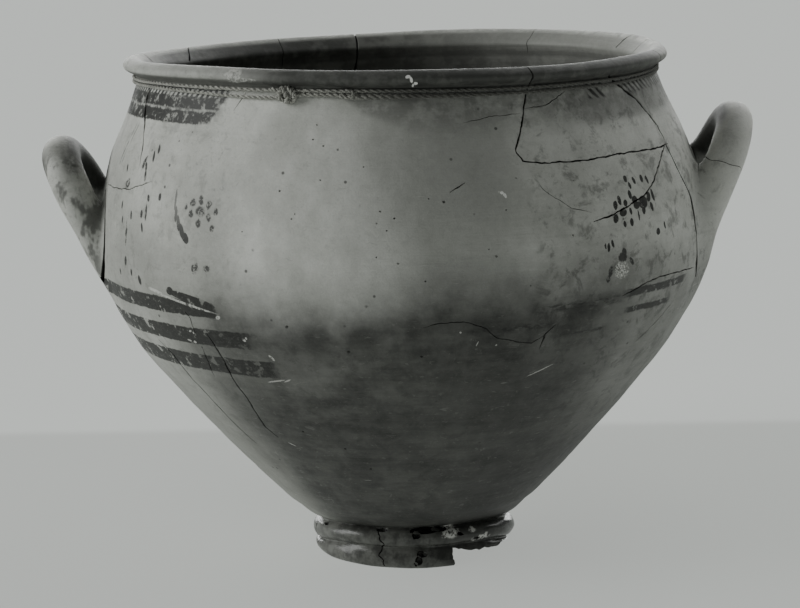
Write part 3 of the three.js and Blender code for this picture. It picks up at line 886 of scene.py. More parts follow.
# ---------------------------------------------------------------- node helpers
class Nodes:
    def __init__(self, mat):
        self.t = mat.node_tree
        self.t.nodes.clear()
        self.i = 0

    def new(self, kind):
        n = self.t.nodes.new(kind)
        n.location = (200 * (self.i // 12), -180 * (self.i % 12))
        self.i += 1
        return n

    def put(self, socket, value):
        if isinstance(value, bpy.types.NodeSocket):
            self.t.links.new(value, socket)
        elif value is not None:
            socket.default_value = value

    def math(self, op, a, b=None, c=None, clamp=False):
        n = self.new("ShaderNodeMath")
        n.operation = op
        n.use_clamp = clamp
        for s, v in zip(n.inputs, (a, b, c)):
            self.put(s, v)
        return n.outputs[0]

    def add(self, a, b): return self.math("ADD", a, b)
    def sub(self, a, b): return self.math("SUBTRACT", a, b)
    def mul(self, a, b): return self.math("MULTIPLY", a, b)
    def inv(self, a): return self.math("SUBTRACT", 1.0, a)
    def lo(self, a, b): return self.math("MINIMUM", a, b)
    def hi(self, a, b): return self.math("MAXIMUM", a, b)

    def step(self, v, a, b, c=0.0, d=1.0):
        n = self.new("ShaderNodeMapRange")
        n.interpolation_type = "SMOOTHSTEP"
        self.put(n.inputs["Value"], v)
        for k, x in zip(("From Min", "From Max", "To Min", "To Max"), (a, b, c, d)):
            self.put(n.inputs[k], x)
        return n.outputs["Result"]

    def lin(self, v, a, b, c=0.0, d=1.0):
        n = self.new("ShaderNodeMapRange")
        self.put(n.inputs["Value"], v)
        for k, x in zip(("From Min", "From Max", "To Min", "To Max"), (a, b, c, d)):
            self.put(n.inputs[k], x)
        return n.outputs["Result"]

    def between(self, v, a, b, soft):
        return self.mul(self.step(v, a - soft, a + soft), self.step(v, b - soft, b + soft, 1.0, 0.0))

    def vec(self, x, y, z):
        n = self.new("ShaderNodeCombineXYZ")
        for s, v in zip(n.inputs, (x, y, z)):
            self.put(s, v)
        return n.outputs[0]

    def vmath(self, op, a, b=None):
        n = self.new("ShaderNodeVectorMath")
        n.operation = op
        self.put(n.inputs[0], a)
        if b is not None:
            self.put(n.inputs[1], b)
        return n.outputs["Value"] if op in ("LENGTH", "DISTANCE", "DOT_PRODUCT") else n.outputs["Vector"]

    def noise(self, v, scale, detail=3.0, rough=0.55, distort=0.0):
        n = self.new("ShaderNodeTexNoise")
        self.put(n.inputs["Vector"], v)
        n.inputs["Scale"].default_value = scale
        n.inputs["Detail"].default_value = detail
        n.inputs["Roughness"].default_value = rough
        n.inputs["Distortion"].default_value = distort
        return n.outputs["Fac"]

    def voronoi(self, v, scale, feature="F1", rand=1.0):
        n = self.new("ShaderNodeTexVoronoi")
        n.feature = feature
        self.put(n.inputs["Vector"], v)
        n.inputs["Scale"].default_value = scale
        n.inputs["Randomness"].default_value = rand
        return n.outputs["Distance"]

    def mix(self, f, a, b):
        n = self.new("ShaderNodeMix")
        n.data_type = "RGBA"
        n.clamp_factor = True
        self.put(n.inputs["Factor"], f)
        for s, v in ((n.inputs[6], a), (n.inputs[7], b)):
            if isinstance(v, tuple) and len(v) == 3:
                v = (*v, 1.0)
            self.put(s, v)
        return n.outputs[2]

    def fmix(self, f, a, b):
        n = self.new("ShaderNodeMix")
        n.data_type = "FLOAT"
        self.put(n.inputs["Factor"], f)
        self.put(n.inputs[2], a)
        self.put(n.inputs[3], b)
        return n.outputs[0]

    def scale(self, c, f):
        """Colour times a varying number."""
        n = self.new("ShaderNodeVectorMath")
        n.operation = "SCALE"
        self.put(n.inputs[0], c)
        self.put(n.inputs["Scale"], f)
        return n.outputs["Vector"]

    def spots(self, p, items):
        """Distance-like field: below 1 inside any of the ellipses (u, v, half u, half v, turn)."""
        best, turned = None, {}
        pu, pv = p
        for u, v, a, b, turn in items:
            t = 10 * round(turn / 10)
            c, s = math.cos(math.radians(t)), math.sin(math.radians(t))
            if t not in turned:
                turned[t] = self.vec(self.add(self.mul(pu, c), self.mul(pv, s)), self.sub(self.mul(pv, c), self.mul(pu, s)), 0.0)
            n = self.new("ShaderNodeVectorMath")
            n.operation = "MULTIPLY_ADD"
            self.put(n.inputs[0], turned[t])
            n.inputs[1].default_value = (1 / a, 1 / b, 0)
            n.inputs[2].default_value = (-(u * c + v * s) / a, -(v * c - u * s) / b, 0)
            d = self.vmath("LENGTH", n.outputs["Vector"])
            best = d if best is None else self.lo(best, d)
        return best


def material(name):
    m = bpy.data.materials.new(name)
    m.use_nodes = True
    return m, Nodes(m)


U = math.pi / 180 * 183          # mm of arc for each degree, at the belly


def clay_material():
    m, g = material("fired_clay")
    at = g.new("ShaderNodeAttribute")
    at.attribute_name = "upright_mm"
    pos = at.outputs["Vector"]
    sep = g.new("ShaderNodeSeparateXYZ")
    g.put(sep.inputs[0], pos)
    x, y, z = sep.outputs
    phi = g.mul(g.math("ARCTAN2", x, g.mul(y, -1.0)), 180 / math.pi)
    r = g.math("SQRT", g.add(g.mul(x, x), g.mul(y, y)))
    u = g.mul(phi, U)
    at2 = g.new("ShaderNodeAttribute")
    at2.attribute_name = "depth_mm"
    deep = at2.outputs["Fac"]
    at3 = g.new("ShaderNodeAttribute")
    at3.attribute_name = "limb_mm"
    limb = g.step(at3.outputs["Fac"], 3.0, -0.5)
    at4 = g.new("ShaderNodeAttribute")
    at4.attribute_name = "outer"
    outer = at4.outputs["Fac"]
    # noises
    big = g.noise(pos, 0.012, 3, 0.6)
    mid = g.noise(pos, 0.045, 4, 0.62)
    fine = g.noise(pos, 0.22, 4, 0.65)
    grit = g.noise(pos, 0.9, 3, 0.7)
    flow = g.noise(g.vec(g.mul(x, 0.25), g.mul(y, 0.25), g.mul(z, 2.2)), 0.09, 3, 0.62)
    wheel = g.noise(g.vec(g.mul(x, 0.05), g.mul(y, 0.05), z), 0.42, 2, 0.6)
    patch = g.noise(pos, 0.10, 3, 0.7)
    chippy = g.noise(pos, 0.15, 3, 0.72)
    flaky = g.noise(pos, 0.5, 3, 0.7)
    # wavering coordinates, for ragged edges
    wz = g.add(z, g.add(g.mul(g.sub(fine, 0.5), 2.2), g.mul(g.sub(mid, 0.5), 1.6)))
    wphi = g.add(phi, g.add(g.mul(g.sub(mid, 0.5), 9.0), g.mul(g.sub(fine, 0.5), 4.0)))
    p2 = (g.add(u, g.mul(g.sub(fine, 0.5), 1.6)), g.add(z, g.mul(g.sub(grit, 0.5), 0.8)))

    front = g.step(g.math("ABSOLUTE", phi), 92.0, 84.0)
    # ---- base tones
    clay = g.mix(g.step(mid, 0.35, 0.7), CLAY_LIGHT, CLAY_WARM)
    clay = g.mix(g.mul(g.step(big, 0.45, 0.68), 0.55), clay, CLAY_GREY)
    clay = g.mix(g.mul(g.step(flow, 0.5, 0.78), 0.35), clay, CLAY_GREY)
    mott = g.noise(pos, 0.085, 4, 0.72, 0.4)
    clay = g.mix(g.mul(g.step(mott, 0.50, 0.66), g.lo(g.step(phi, -50.0, 40.0, 0.30, 0.62), g.step(phi, 110.0, 165.0, 0.62, 0.30))), clay, DIRT_AND_SHADE)
    clay = g.mix(g.mul(g.step(mott, 0.40, 0.30), 0.5), clay, CLAY_LIGHT)
    # plaster fill: smooth and plain, in the middle of the front
    pedge = g.add(wphi, 0.0)
    plaster = g.mul(g.mul(g.step(pedge, -37.0, -26.0), g.step(pedge, 25.0, 21.0)), g.step(wz, 150.0, 172.0))
    plaster = g.mul(plaster, g.step(z, 296.0, 294.0))
    pl = g.mix(g.step(g.noise(g.vec(g.mul(u, 1.0), g.mul(z, 0.6), 0.0), 0.022, 3, 0.6), 0.4, 0.66), PLASTER_A, PLASTER_B)
    col = g.mix(plaster, clay, pl)
    # greyer towards the right of the fill, and under the rim there: partly the surface's own grey, partly painted shade
    # of the front's middle, which neither side window lights
    col = g.mix(g.mul(g.mul(g.step(phi, -14.0, 8.0), g.step(phi, 27.0, 12.0)), 0.70), col, CLAY_GREY)
    col = g.mix(g.mul(g.mul(g.step(phi, -30.0, 2.0), g.step(phi, 27.0, 12.0)), g.mul(g.step(z, 196.0, 250.0), 0.24)), col, DIRT_AND_SHADE)
    col = g.mix(g.mul(g.mul(g.mul(g.step(phi, -24.0, -34.0), g.step(phi, -120.0, -80.0)), g.step(z, 300.0, 170.0)), 0.22), col, DIRT_AND_SHADE)
    # everything under the belly is darker: partly grime, partly painted shade of the downward-facing lower body
    col = g.mix(g.mul(g.step(z, 188.0, 70.0), 0.66), col, DIRT_AND_SHADE)
    # ---- lower body: dark and smoky in the middle and on the right, paler at the far left; the darkness is partly the ware's own, partly painted shade where the belly turns down and away from the left window
    edge = g.add(g.add(g.lo(g.step(phi, -46.0, -34.0, 168.0, 187.0), g.step(phi, 105.0, 150.0, 187.0, 168.0)), g.mul(g.step(phi, -4.0, 6.0, 0.0, 9.0), g.step(phi, 150.0, 105.0))), g.add(g.mul(g.sub(mid, 0.5), 16.0), g.mul(g.sub(big, 0.5), 16.0)))
    lowz = g.step(g.sub(z, edge), 22.0, -30.0)
    side = g.step(wphi, -58.0, -33.0)
    right = g.hi(g.step(phi, 56.0, 31.0, 0.55, 1.0), g.step(z, 118.0, 66.0))
    back = g.step(g.math("ABSOLUTE", phi), 100.0, 125.0, 0.0, 0.6)
    dark = g.mul(lowz, g.hi(g.mul(g.mul(side, right), g.step(phi, 150.0, 105.0)), back))
    dark = g.mul(dark, g.inv(g.mul(g.mul(g.between(wphi, -38.0, -13.0, 7.0), g.between(wz, 128.0, 152.0, 8.0)), 0.20)))
    dark = g.mul(dark, g.add(0.86, g.mul(g.step(mid, 0.3, 0.7), 0.14)))
    lower = g.mix(g.step(g.add(g.mul(flow, 0.45), g.mul(mott, 0.55)), 0.38, 0.60), LOW_A, LOW_B)
    lower = g.scale(lower, g.step(big, 0.36, 0.64, 0.78, 1.24))
    col = g.mix(dark, col, lower)
    col = g.mix(g.mul(g.mul(g.mul(g.step(phi, 2.0, 34.0), g.step(phi, 140.0, 95.0)), g.step(z, 128.0, 62.0)), 0.62), col, PAINT_A)
    cap = g.mul(g.mul(g.step(wz, 268.0, 290.0), g.step(g.add(wphi, g.mul(g.sub(z, 289.0), 0.75)), -10.5, -5.5)), g.step(phi, 92.0, 84.0))
    col = g.mix(g.mul(cap, g.step(patch, 0.36, 0.58, 0.16, 0.46)), col, SMOKE_AND_SHADE)
    cap2 = g.mul(g.mul(g.step(wz, 266.0, 284.0), g.step(wphi, 26.0, 32.0)), g.step(phi, 92.0, 84.0))
    col = g.mix(g.mul(cap2, 0.24), col, DIRT_AND_SHADE)
    # smoky cloud low on the left of the middle
    p4 = (g.add(u, g.mul(g.sub(mid, 0.5), 30.0)), g.add(z, g.mul(g.sub(mid, 0.5), 16.0)))
    for (cu, cz, a, b, f) in ((-21.0, 148.0, 24.0, 20.0, 0.22), (20.0, 118.0, 60.0, 34.0, 0.35), (38.0, 176.0, 20.0, 5.0, 0.5), (12.5, 168.0, 36.0, 6.5, 0.35)):
        d = g.spots(p4, [(cu * U, cz, a, b, 0)])
        col = g.mix(g.mul(g.step(d, 1.2, 0.3), f), col, SMOKE_AND_SHADE)
    # ---- painted bands
    worn = g.step(g.add(g.mul(fine, 0.6), g.mul(grit, 0.4)), 0.40, 0.50)
    worn_hard = g.step(g.add(g.mul(mid, 0.5), g.mul(fine, 0.5)), 0.36, 0.5)
    # painted shade on the left of the belly, beside and below the left handle
    shade = g.mul(g.mul(g.step(wphi, -38.0, -46.0), g.step(phi, -78.0, -66.0)), g.between(wz, 164.0, 210.0, 10.0))
    col = g.mix(g.mul(shade, 0.26), col, DIRT_AND_SHADE)
    bands = None
    for z0, z1, end in ((171.2, 180.4, -35.5), (153.6, 163.8, -30.0), (136.2, 146.6, -25.5)):
        b = g.between(wz, z0, z1, 0.35)
        span = g.hi(g.step(wphi, end + 1.5, end - 1.5), g.step(phi, 86.0, 92.0))
        b = g.mul(b, span)
        bands = b if bands is None else g.hi(bands, b)
    # loose flake of the top band, and the slim bands on the right
    for (u0, v0, a, b, t) in ((-41.3, 181.2, 18.0, 2.6, -11.0), (-46.3, 184.6, 3.0, 2.4, 20.0)):
        bands = g.hi(bands, g.step(g.spots(p2, [(u0 * U, v0, a, b, t)]), 1.08, 0.94))
    rb = g.mul(g.between(wz, 175.3, 180.0, 0.5), g.between(wphi, 43.0, 63.0, 1.5))
    rb = g.hi(rb, g.mul(g.between(wz, 165.3, 168.8, 0.5), g.between(wphi, 42.5, 57.5, 1.5)))
    rb = g.mul(rb, 0.95)
    bands = g.mul(g.hi(bands, rb), g.add(0.93, g.mul(worn, 0.07)))
    bands = g.mul(bands, g.step(chippy, 0.36, 0.44, 0.15, 1.0))
    back_wear = g.step(g.noise(pos, 0.03, 3, 0.68), 0.42, 0.52, 0.25, 1.0)
    bands = g.mul(bands, g.fmix(front, back_wear, 1.0))
    # neck band with its reserved strokes
    nbend = g.add(wphi, g.mul(g.sub(297.0, z), 0.30))
    nb = g.mul(g.between(wz, 277.6, 297.5, 0.5), g.hi(g.step(nbend, -35.6, -37.2), g.step(phi, 80.0, 88.0)))
    slit = g.mul(g.between(wz, 284.6, 285.9, 0.5), g.step(fine, 0.42, 0.55, 0.25, 0.8))
    tick = g.math("FRACT", g.mul(g.add(phi, g.mul(z, -0.22)), 1 / 1.62))
    ticks = g.mul(g.between(tick, 0.34, 0.80, 0.10), g.between(wz, 292.6, 296.6, 0.5))
    nb = g.mul(nb, g.inv(g.mul(g.hi(slit, ticks), 0.85)))
    nb = g.mul(nb, g.step(chippy, 0.34, 0.46, 0.35, 1.0))
    # the right end of the neck: short strokes and a smoky zone
    st = g.math("FRACT", g.mul(g.add(g.add(phi, g.mul(z, 0.34)), g.mul(g.sub(mid, 0.5), 3.0)), 1 / 2.05))
    rs = g.mul(g.between(st, 0.25, 0.72, 0.12), g.mul(g.between(wz, 289.0, 298.5, 0.8), g.hi(g.between(phi, 55.0, 84.0, 1.2), g.between(phi, 43.3, 48.6, 0.6))))
    rs = g.mul(rs, g.step(mid, 0.34, 0.5, 0.35, 0.95))
    zone = g.mul(g.between(wz, 276.0, 291.0, 2.5), g.between(wphi, 38.0, 82.0, 4.0))
    col = g.mix(g.mul(zone, 0.35), col, SMOKE_AND_SHADE)
    paint = g.hi(bands, g.hi(nb, rs))
    # ---- rosettes, dots and strokes
    dots_r = [(45.6, 243.2, 1.5, 2.0, 10), (47.9, 241.6, 1.2, 2.2, 15), (50.3, 241.9, 1.5, 2.2, 5), (51.9, 240.6, 1.2, 2.6, 15), (46.4, 239.2, 1.1, 2.0, 10),
              (45.9, 234.2, 1.5, 2.6, 8), (52.6, 231.6, 1.3, 3.6, 14), (44.3, 229.8, 1.6, 2.0, 0), (42.8, 231.9, 1.5, 2.8, 12), (41.6, 229.4, 1.6, 2.6, -10),
              (43.3, 224.6, 3.0, 2.0, 12), (41.2, 222.0, 1.9, 2.6, -20), (45.3, 224.8, 1.1, 2.0, 8), (49.0, 224.4, 1.6, 2.7, -6), (51.6, 225.2, 1.4, 2.7, 6),
              (45.1, 218.6, 1.5, 2.3, 5), (43.2, 218.2, 1.1, 1.8, 0), (47.3, 221.8, 0.6, 3.0, 5), (46.9, 230.9, 2.4, 2.2, 0), (49.2, 228.6, 4.4, 3.6, 10), (51.2, 231.0, 1.9, 2.8, -20), (47.2, 227.6, 2.8, 2.2, 0),
              (52.3, 210.4, 2.0, 2.0, 20), (54.8, 213.1, 0.9, 2.2, 12), (38.6, 206.4, 1.0, 2.6, -12), (39.6, 208.2, 0.9, 2.4, 10), (37.9, 207.4, 0.7, 1.6, 0)]
    field = g.spots(p2, [(a * U, b, c, d, e) for a, b, c, d, e in dots_r])
    marks = g.step(field, 1.12, 0.92)
    marks = g.mul(marks, g.step(g.add(g.mul(grit, 0.5), g.mul(fine, 0.5)), 0.34, 0.45, 0.55, 1.0))
    dots_l = [(-53.2, 235.3, 1.1, 1.9, 15), (-49.6, 236.8, 1.3, 2.0, 0), (-58.9, 224.1, 0.9, 2.4, 6), (-55.0, 225.8, 1.2, 2.2, 0), (-53.5, 227.0, 0.9, 4.2, 4),
              (-54.5, 218.3, 0.9, 2.6, 12), (-60.5, 197.1, 1.3, 2.6, 0), (-63.3, 189.9, 0.9, 1.8, 0), (-58.3, 191.2, 0.9, 2.0, 0), (-55.4, 187.7, 1.5, 2.6, 8),
              (-56.0, 252.2, 1.1, 2.6, 20), (-54.2, 258.4, 1.0, 3.2, 18), (-53.2, 262.6, 1.0, 2.6, 24), (-64.2, 249.6, 0.9, 2.2, 22), (-55.6, 247.4, 1.1, 3.0, 8), (-63.4, 228.6, 0.8, 2.2, 0), (-62.5, 220.4, 0.8, 2.0, 0)]
    f2 = g.spots(p2, [(a * U, b, c, d, e) for a, b, c, d, e in dots_l])
    marks = g.hi(marks, g.mul(g.step(f2, 1.3, 0.85), g.step(fine, 0.34, 0.46, 0.55, 1.0)))
    # brush stroke, left: thin above, broad at its foot
    stroke = g.spots(p2, [(-44.9 * U, 236.5, 0.9, 6.0, 0), (-44.5 * U, 228.6, 1.2, 4.6, 4), (-43.7 * U, 223.8, 1.5, 4.6, 12), (-42.7 * U, 219.4, 1.9, 4.6, 20), (-41.7 * U, 215.8, 2.3, 3.4, 28)])
    marks = g.hi(marks, g.mul(g.step(stroke, 1.1, 0.9), g.add(0.62, g.mul(g.step(z, 236.0, 216.0), 0.36))))
    # faint rosette, left, and faint scribbles
    faint = g.spots((g.add(u, g.mul(g.sub(fine, 0.5), 5.0)), g.add(z, g.mul(g.sub(fine, 0.5), 4.0))), [
        (-40.4 * U, 235.6, 1.8, 1.8, 0), (-38.4 * U, 237.6, 1.6, 2.4, 0), (-36.6 * U, 235.4, 1.6, 2.0, 0), (-38.4 * U, 231.2, 3.0, 2.4, 0), (-40.6 * U, 229.6, 1.6, 1.8, 0),
        (-36.4 * U, 228.4, 1.4, 2.2, 0), (-34.8 * U, 231.8, 1.5, 1.6, 0), (-38.6 * U, 224.8, 1.4, 2.0, 0), (-35.4 * U, 222.6, 1.6, 1.6, 0), (-42.0 * U, 233.0, 1.0, 1.6, 0),
        (-39.4 * U, 199.4, 2.0, 2.6, 0), (-36.6 * U, 200.0, 2.2, 1.4, 0), (-62.4 * U, 241.0, 3.6, 2.0, 30), (-57.0 * U, 254.0, 1.4, 3.4, -20), (-60.5 * U, 213.5, 0.8, 6.0, 4)])
    marks = g.hi(marks, g.mul(g.step(faint, 1.5, 0.85), g.step(flaky, 0.40, 0.50, 0.25, 0.95)))
    # thin double line slanting down, far left
    dl = g.add(phi, g.mul(g.sub(272.9, z), 0.095))
    lines = g.mul(g.hi(g.between(dl, -67.6, -67.05, 0.2), g.between(dl, -66.2, -65.8, 0.2)), g.between(z, 251.0, 274.0, 2.0))
    marks = g.hi(marks, g.mul(lines, g.step(fine, 0.42, 0.54, 0.1, 0.6)))
    # triangular blob over a pitted scab, right
    tri = g.spots(p2, [(41.7 * U, 199.6, 3.4, 2.9, 0), (42.2 * U, 202.4, 1.7, 2.4, 0), (43.9 * U, 196.6, 1.4, 2.6, 30), (38.6 * U, 192.4, 1.6, 3.2, -20), (38.0 * U, 188.5, 1.5, 2.2, 0)])
    marks = g.hi(marks, g.mul(g.step(tri, 1.2, 0.85), g.step(fine, 0.36, 0.48, 0.3, 0.92)))
    paint = g.hi(paint, marks)
    # glaze smears, low right of the middle
    smear = g.mul(g.between(wz, 173.0, 177.5, 1.2), g.between(wphi, 25.0, 41.0, 2.5))
    smear = g.hi(smear, g.mul(g.between(wz, 164.0, 167.0, 0.9), g.between(wphi, 10.0, 27.0, 2.5)))
    smear = g.hi(smear, g.mul(g.between(wz, 157.8, 159.6, 0.7), g.between(wphi, 29.5, 39.0, 1.5)))
    smear = g.mul(smear, g.step(g.noise(g.vec(g.mul(u, 0.3), z, 0.0), 0.35, 3, 0.7), 0.44, 0.56, 0.0, 0.8))
    paint = g.hi(paint, smear)
    paint = g.mul(paint, outer)
    col = g.mix(g.mul(paint, 0.985), col, g.mix(g.step(fine, 0.4, 0.7), PAINT_A, PAINT_B))
    fl = g.spots(p2, [(-44.2 * U, 178.9, 26.5, 0.75, -13), (-50.5 * U, 183.2, 7.0, 1.0, -10), (-35.6 * U, 172.0, 1.7, 1.1, 20), (-31.0 * U, 159.6, 1.4, 0.8, -30), (-26.2 * U, 149.4, 2.2, 0.9, -50)])
    col = g.mix(g.mul(g.step(fl, 1.2, 0.8), g.step(flaky, 0.38, 0.50, 0.1, 0.8)), col, CLAY_LIGHT)
    # pale scratches and scabs: bare clay showing
    scab = g.step(g.spots(p2, [(41.3 * U, 192.6, 5.4, 4.6, 0)]), 1.25, 0.8)
    col = g.mix(g.mul(scab, g.step(grit, 0.46, 0.56)), col, CHIP_AND_LIGHT)
    ch = g.spots(p2, [(18.7 * U, 240.8, 0.8, 1.3, 30), (18.2 * U, 242.4, 1.1, 0.8, 0), (17.7 * U, 243.0, 0.6, 0.5, 0), (9.5 * U, 165.4, 0.6, 0.6, 0), (-30.4 * U, 160.8, 0.7, 0.8, 0), (26.6 * U, 137.0, 9.0, 0.35, 18),
                      (-27.2 * U, 134.2, 6.5, 0.45, 10), (-24.6 * U, 134.9, 3.0, 0.4, 25), (12.6 * U, 158.0, 0.35, 1.6, -28), (-33.0 * U, 88.2, 3.2, 0.35, -20), (-43.6 * U, 161.4, 1.1, 0.6, 20), (-42.9 * U, 160.6, 0.6, 0.7, 0), (-45.0 * U, 155.2, 1.6, 0.6, -12), (-43.6 * U, 154.6, 1.2, 0.8, 10), (16.2 * U, 156.3, 0.5, 0.5, 0)])
    col = g.mix(g.mul(g.step(ch, 1.15, 0.85), 0.55), col, CHIP_AND_LIGHT)
    scr = g.mul(g.step(g.noise(g.vec(g.mul(u, 0.18), g.mul(z, 2.4), 3.0), 0.30, 3, 0.5), 0.715, 0.74), g.step(mid, 0.5, 0.62))
    col = g.mix(g.mul(scr, 0.35), col, CHIP_AND_LIGHT)
    tooth = g.noise(pos, 0.33, 4, 0.78, 0.8)
    col = g.mix(g.mul(g.step(tooth, 0.57, 0.68), g.fmix(plaster, 0.34, 0.16)), col, DIRT_AND_SHADE)
    scuff = g.noise(g.vec(g.mul(u, 0.35), z, 9.0), 0.30, 3, 0.75, 0.6)
    col = g.mix(g.mul(g.step(scuff, 0.62, 0.70), g.fmix(dark, 0.30, 0.16)), col, CLAY_GREY)
    # dark specks everywhere
    sp = g.mul(g.step(g.voronoi(pos, 0.085), 0.105, 0.05), g.step(g.noise(pos, 0.02, 2, 0.5), 0.5, 0.58))
    col = g.mix(g.mul(sp, 0.75), col, SMOKE_AND_SHADE)
    # left handle: dark mottling
    lh = g.mul(limb, g.step(x, -150.0, -170.0))
    stain = g.mul(g.step(g.noise(g.vec(x, y, g.mul(z, 0.6)), 0.075, 3, 0.68), 0.50, 0.61), g.between(z, 172.0, 252.0, 6.0))
    col = g.mix(g.mul(g.mul(lh, stain), 0.72), col, SMOKE_AND_SHADE)
    top = g.mul(lh, g.mul(g.step(z, 236.0, 250.0), g.step(x, -214.0, -196.0)))
    col = g.mix(g.mul(top, g.step(fine, 0.3, 0.6, 0.35, 0.75)), col, SMOKE_AND_SHADE)
    rh = g.mul(limb, g.step(x, 150.0, 170.0))
    col = g.mix(g.mul(g.mul(rh, g.step(fine, 0.52, 0.7)), 0.16), col, SMOKE_AND_SHADE)
    # painted light: the outer end of the right handle is made paler, where light catches it
    col = g.mix(g.mul(g.mul(rh, g.step(x, 180.0, 200.0)), 0.60), col, CHIP_AND_LIGHT)
    # painted shade on the handles' inner faces and on the wall between their roots
    at5 = g.new("ShaderNodeAttribute")
    at5.attribute_name = "handle_shade"
    col = g.mix(g.mul(at5.outputs["Fac"], 0.95), col, SMOKE_AND_SHADE)
    # the rim: rubbed paler on its edge, stained in runs
    lipm = g.mul(g.step(z, 300.4, 301.6), g.step(r, 147.0, 149.0))
    col = g.mix(g.mul(lipm, g.mul(g.step(patch, 0.46, 0.6), 0.45)), col, CLAY_GREY)
    # painted shade under the lip's overhang
    under = g.mul(g.mul(g.between(z, 299.2, 303.8, 0.9), g.step(r, 157.0, 158.5)), outer)
    col = g.mix(g.mul(under, 0.75), col, SMOKE_AND_SHADE)
    lipdark = g.mul(lipm, g.mul(g.step(wphi, -46.0, -20.0, 0.16, 1.0), g.step(phi, 78.0, 62.0, 0.16, 1.0)))
    col = g.mix(g.mul(g.mul(lipdark, outer), 0.93), col, g.mix(g.step(patch, 0.4, 0.62), (0.046, 0.047, 0.043), (0.095, 0.097, 0.089)))
    scl = g.mul(lipm, g.step(g.spots(p2, [(-33.5 * U, 306.0, 7.0, 4.0, 0), (-31.0 * U, 304.0, 9.0, 1.2, 0)]), 1.2, 0.8))
    col = g.mix(g.mul(scl, g.step(flaky, 0.44, 0.56, 0.05, 0.50)), col, CHIP_AND_LIGHT)
    wh = g.spots(p2, [(18.7 * U, 240.9, 0.9, 1.4, 30), (18.2 * U, 242.5, 1.1, 0.8, 0), (2.5 * U, 307.0, 1.7, 0.9, 10), (3.1 * U, 305.4, 0.9, 1.7, 12), (3.9 * U, 303.2, 1.2, 0.9, 0), (3.4 * U, 301.9, 0.6, 1.1, 0)])
    col = g.mix(g.mul(g.step(wh, 1.15, 0.85), outer), col, WHITE)
    # a dark slip inside, with painted light and painted shade laid over it
    inner = g.inv(outer)
    slip = g.mix(g.step(g.noise(pos, 0.05, 3, 0.68), 0.44, 0.62), SLIP_A, SLIP_B)
    # painted light towards the right of the rim, where the left window lights the inside, and painted shade on the
    # rim's left, which it leaves dark
    slip = g.mix(g.mul(g.step(x, -60.0, 110.0), g.mul(g.step(z, 285.0, 300.0), 0.72)), slip, CLAY_GREY)
    slip = g.mix(g.mul(g.step(x, -20.0, -70.0), g.mul(g.step(z, 299.0, 301.0), 0.32)), slip, SMOKE_AND_SHADE)
    slip = g.mix(g.mul(g.step(z, 299.0, 280.0), 0.16), slip, CLAY_LIGHT)
    slip = g.mix(g.mul(g.between(wz, 293.0, 297.5, 1.4), 0.5), slip, SMOKE_AND_SHADE)
    bare = g.mul(g.mul(g.step(r, 151.0, 156.5), g.step(z, 303.0, 307.5)), g.step(phi, -20.0, -60.0))
    col = g.mix(g.mul(g.mul(inner, g.step(z, 309.6, 307.2)), g.inv(g.mul(bare, g.step(y, 60.0, -20.0)))), col, slip)
    # foot: rubbed, grey, with plaster smears beside the break
    footm = g.step(z, 24.5, 22.5)
    fcol = g.mix(g.step(patch, 0.38, 0.66), FOOT_A, FOOT_B)
    col = g.mix(g.mul(footm, 0.9), col, fcol)
    col = g.mix(g.mul(g.mul(footm, g.step(phi, 4.0, 26.0)), g.mul(g.step(phi, 130.0, 100.0), 0.55)), col, LOW_B)
    col = g.mix(g.mul(g.mul(g.step(z, 40.0, 26.0), g.mul(g.step(phi, 46.0, 64.0), g.step(phi, 130.0, 112.0))), 0.85), col, LOW_B)
    smears = g.spots((g.add(u, g.mul(g.sub(fine, 0.5), 14.0)), g.add(z, g.mul(g.sub(fine, 0.5), 4.0))), [
        (21.0 * U, 20.6, 15.0, 3.4, 0), (35.0 * U, 19.8, 8.0, 1.4, 0), (41.0 * U, 14.4, 20.0, 1.8, 0)])
    col = g.mix(g.mul(g.step(smears, 1.3, 0.75), g.mul(outer, g.step(flaky, 0.44, 0.52, 0.0, 0.85))), col, CHIP_AND_LIGHT)
    # broken faces and cracks
    # painted shade: the foot's broken faces are darkened as the hollow of the break
    brk = g.mul(g.step(deep, 0.5, 1.4), g.mul(g.step(z, 15.0, 12.0), g.step(phi, 17.0, 19.0)))
    col = g.mix(brk, col, g.mix(grit, BREAK_A, BREAK_B))
    crk = g.mul(g.step(deep, 0.15, 0.75), g.inv(brk))
    col = g.mix(crk, col, CRACK)
    # overall tooth
    tone = g.add(0.72, g.add(g.mul(fine, 0.30), g.mul(grit, 0.26)))
    col = g.scale(col, tone)

    b = g.new("ShaderNodeBsdfPrincipled")
    g.put(b.inputs["Base Color"], col)
    rough = g.add(0.60, g.mul(g.sub(fine, 0.5), 0.25))
    rough = g.sub(rough, g.mul(dark, 0.10))
    rough = g.sub(rough, g.mul(paint, 0.08))
    rough = g.sub(rough, g.mul(footm, 0.28))
    g.put(b.inputs["Roughness"], rough)
    b.inputs["Specular IOR Level"].default_value = 0.27
    h = g.add(g.mul(fine, 0.30), g.add(g.mul(grit, 0.16), g.mul(wheel, 0.30)))
    h = g.add(h, g.mul(flow, 0.25))
    bump = g.new("ShaderNodeBump")
    bump.inputs["Strength"].default_value = 0.55
    bump.inputs["Distance"].default_value = 0.0011
    g.put(bump.inputs["Height"], h)
    g.put(b.inputs["Normal"], bump.outputs["Normal"])
    o = g.new("ShaderNodeOutputMaterial")
    g.put(o.inputs["Surface"], b.outputs[0])
    return m


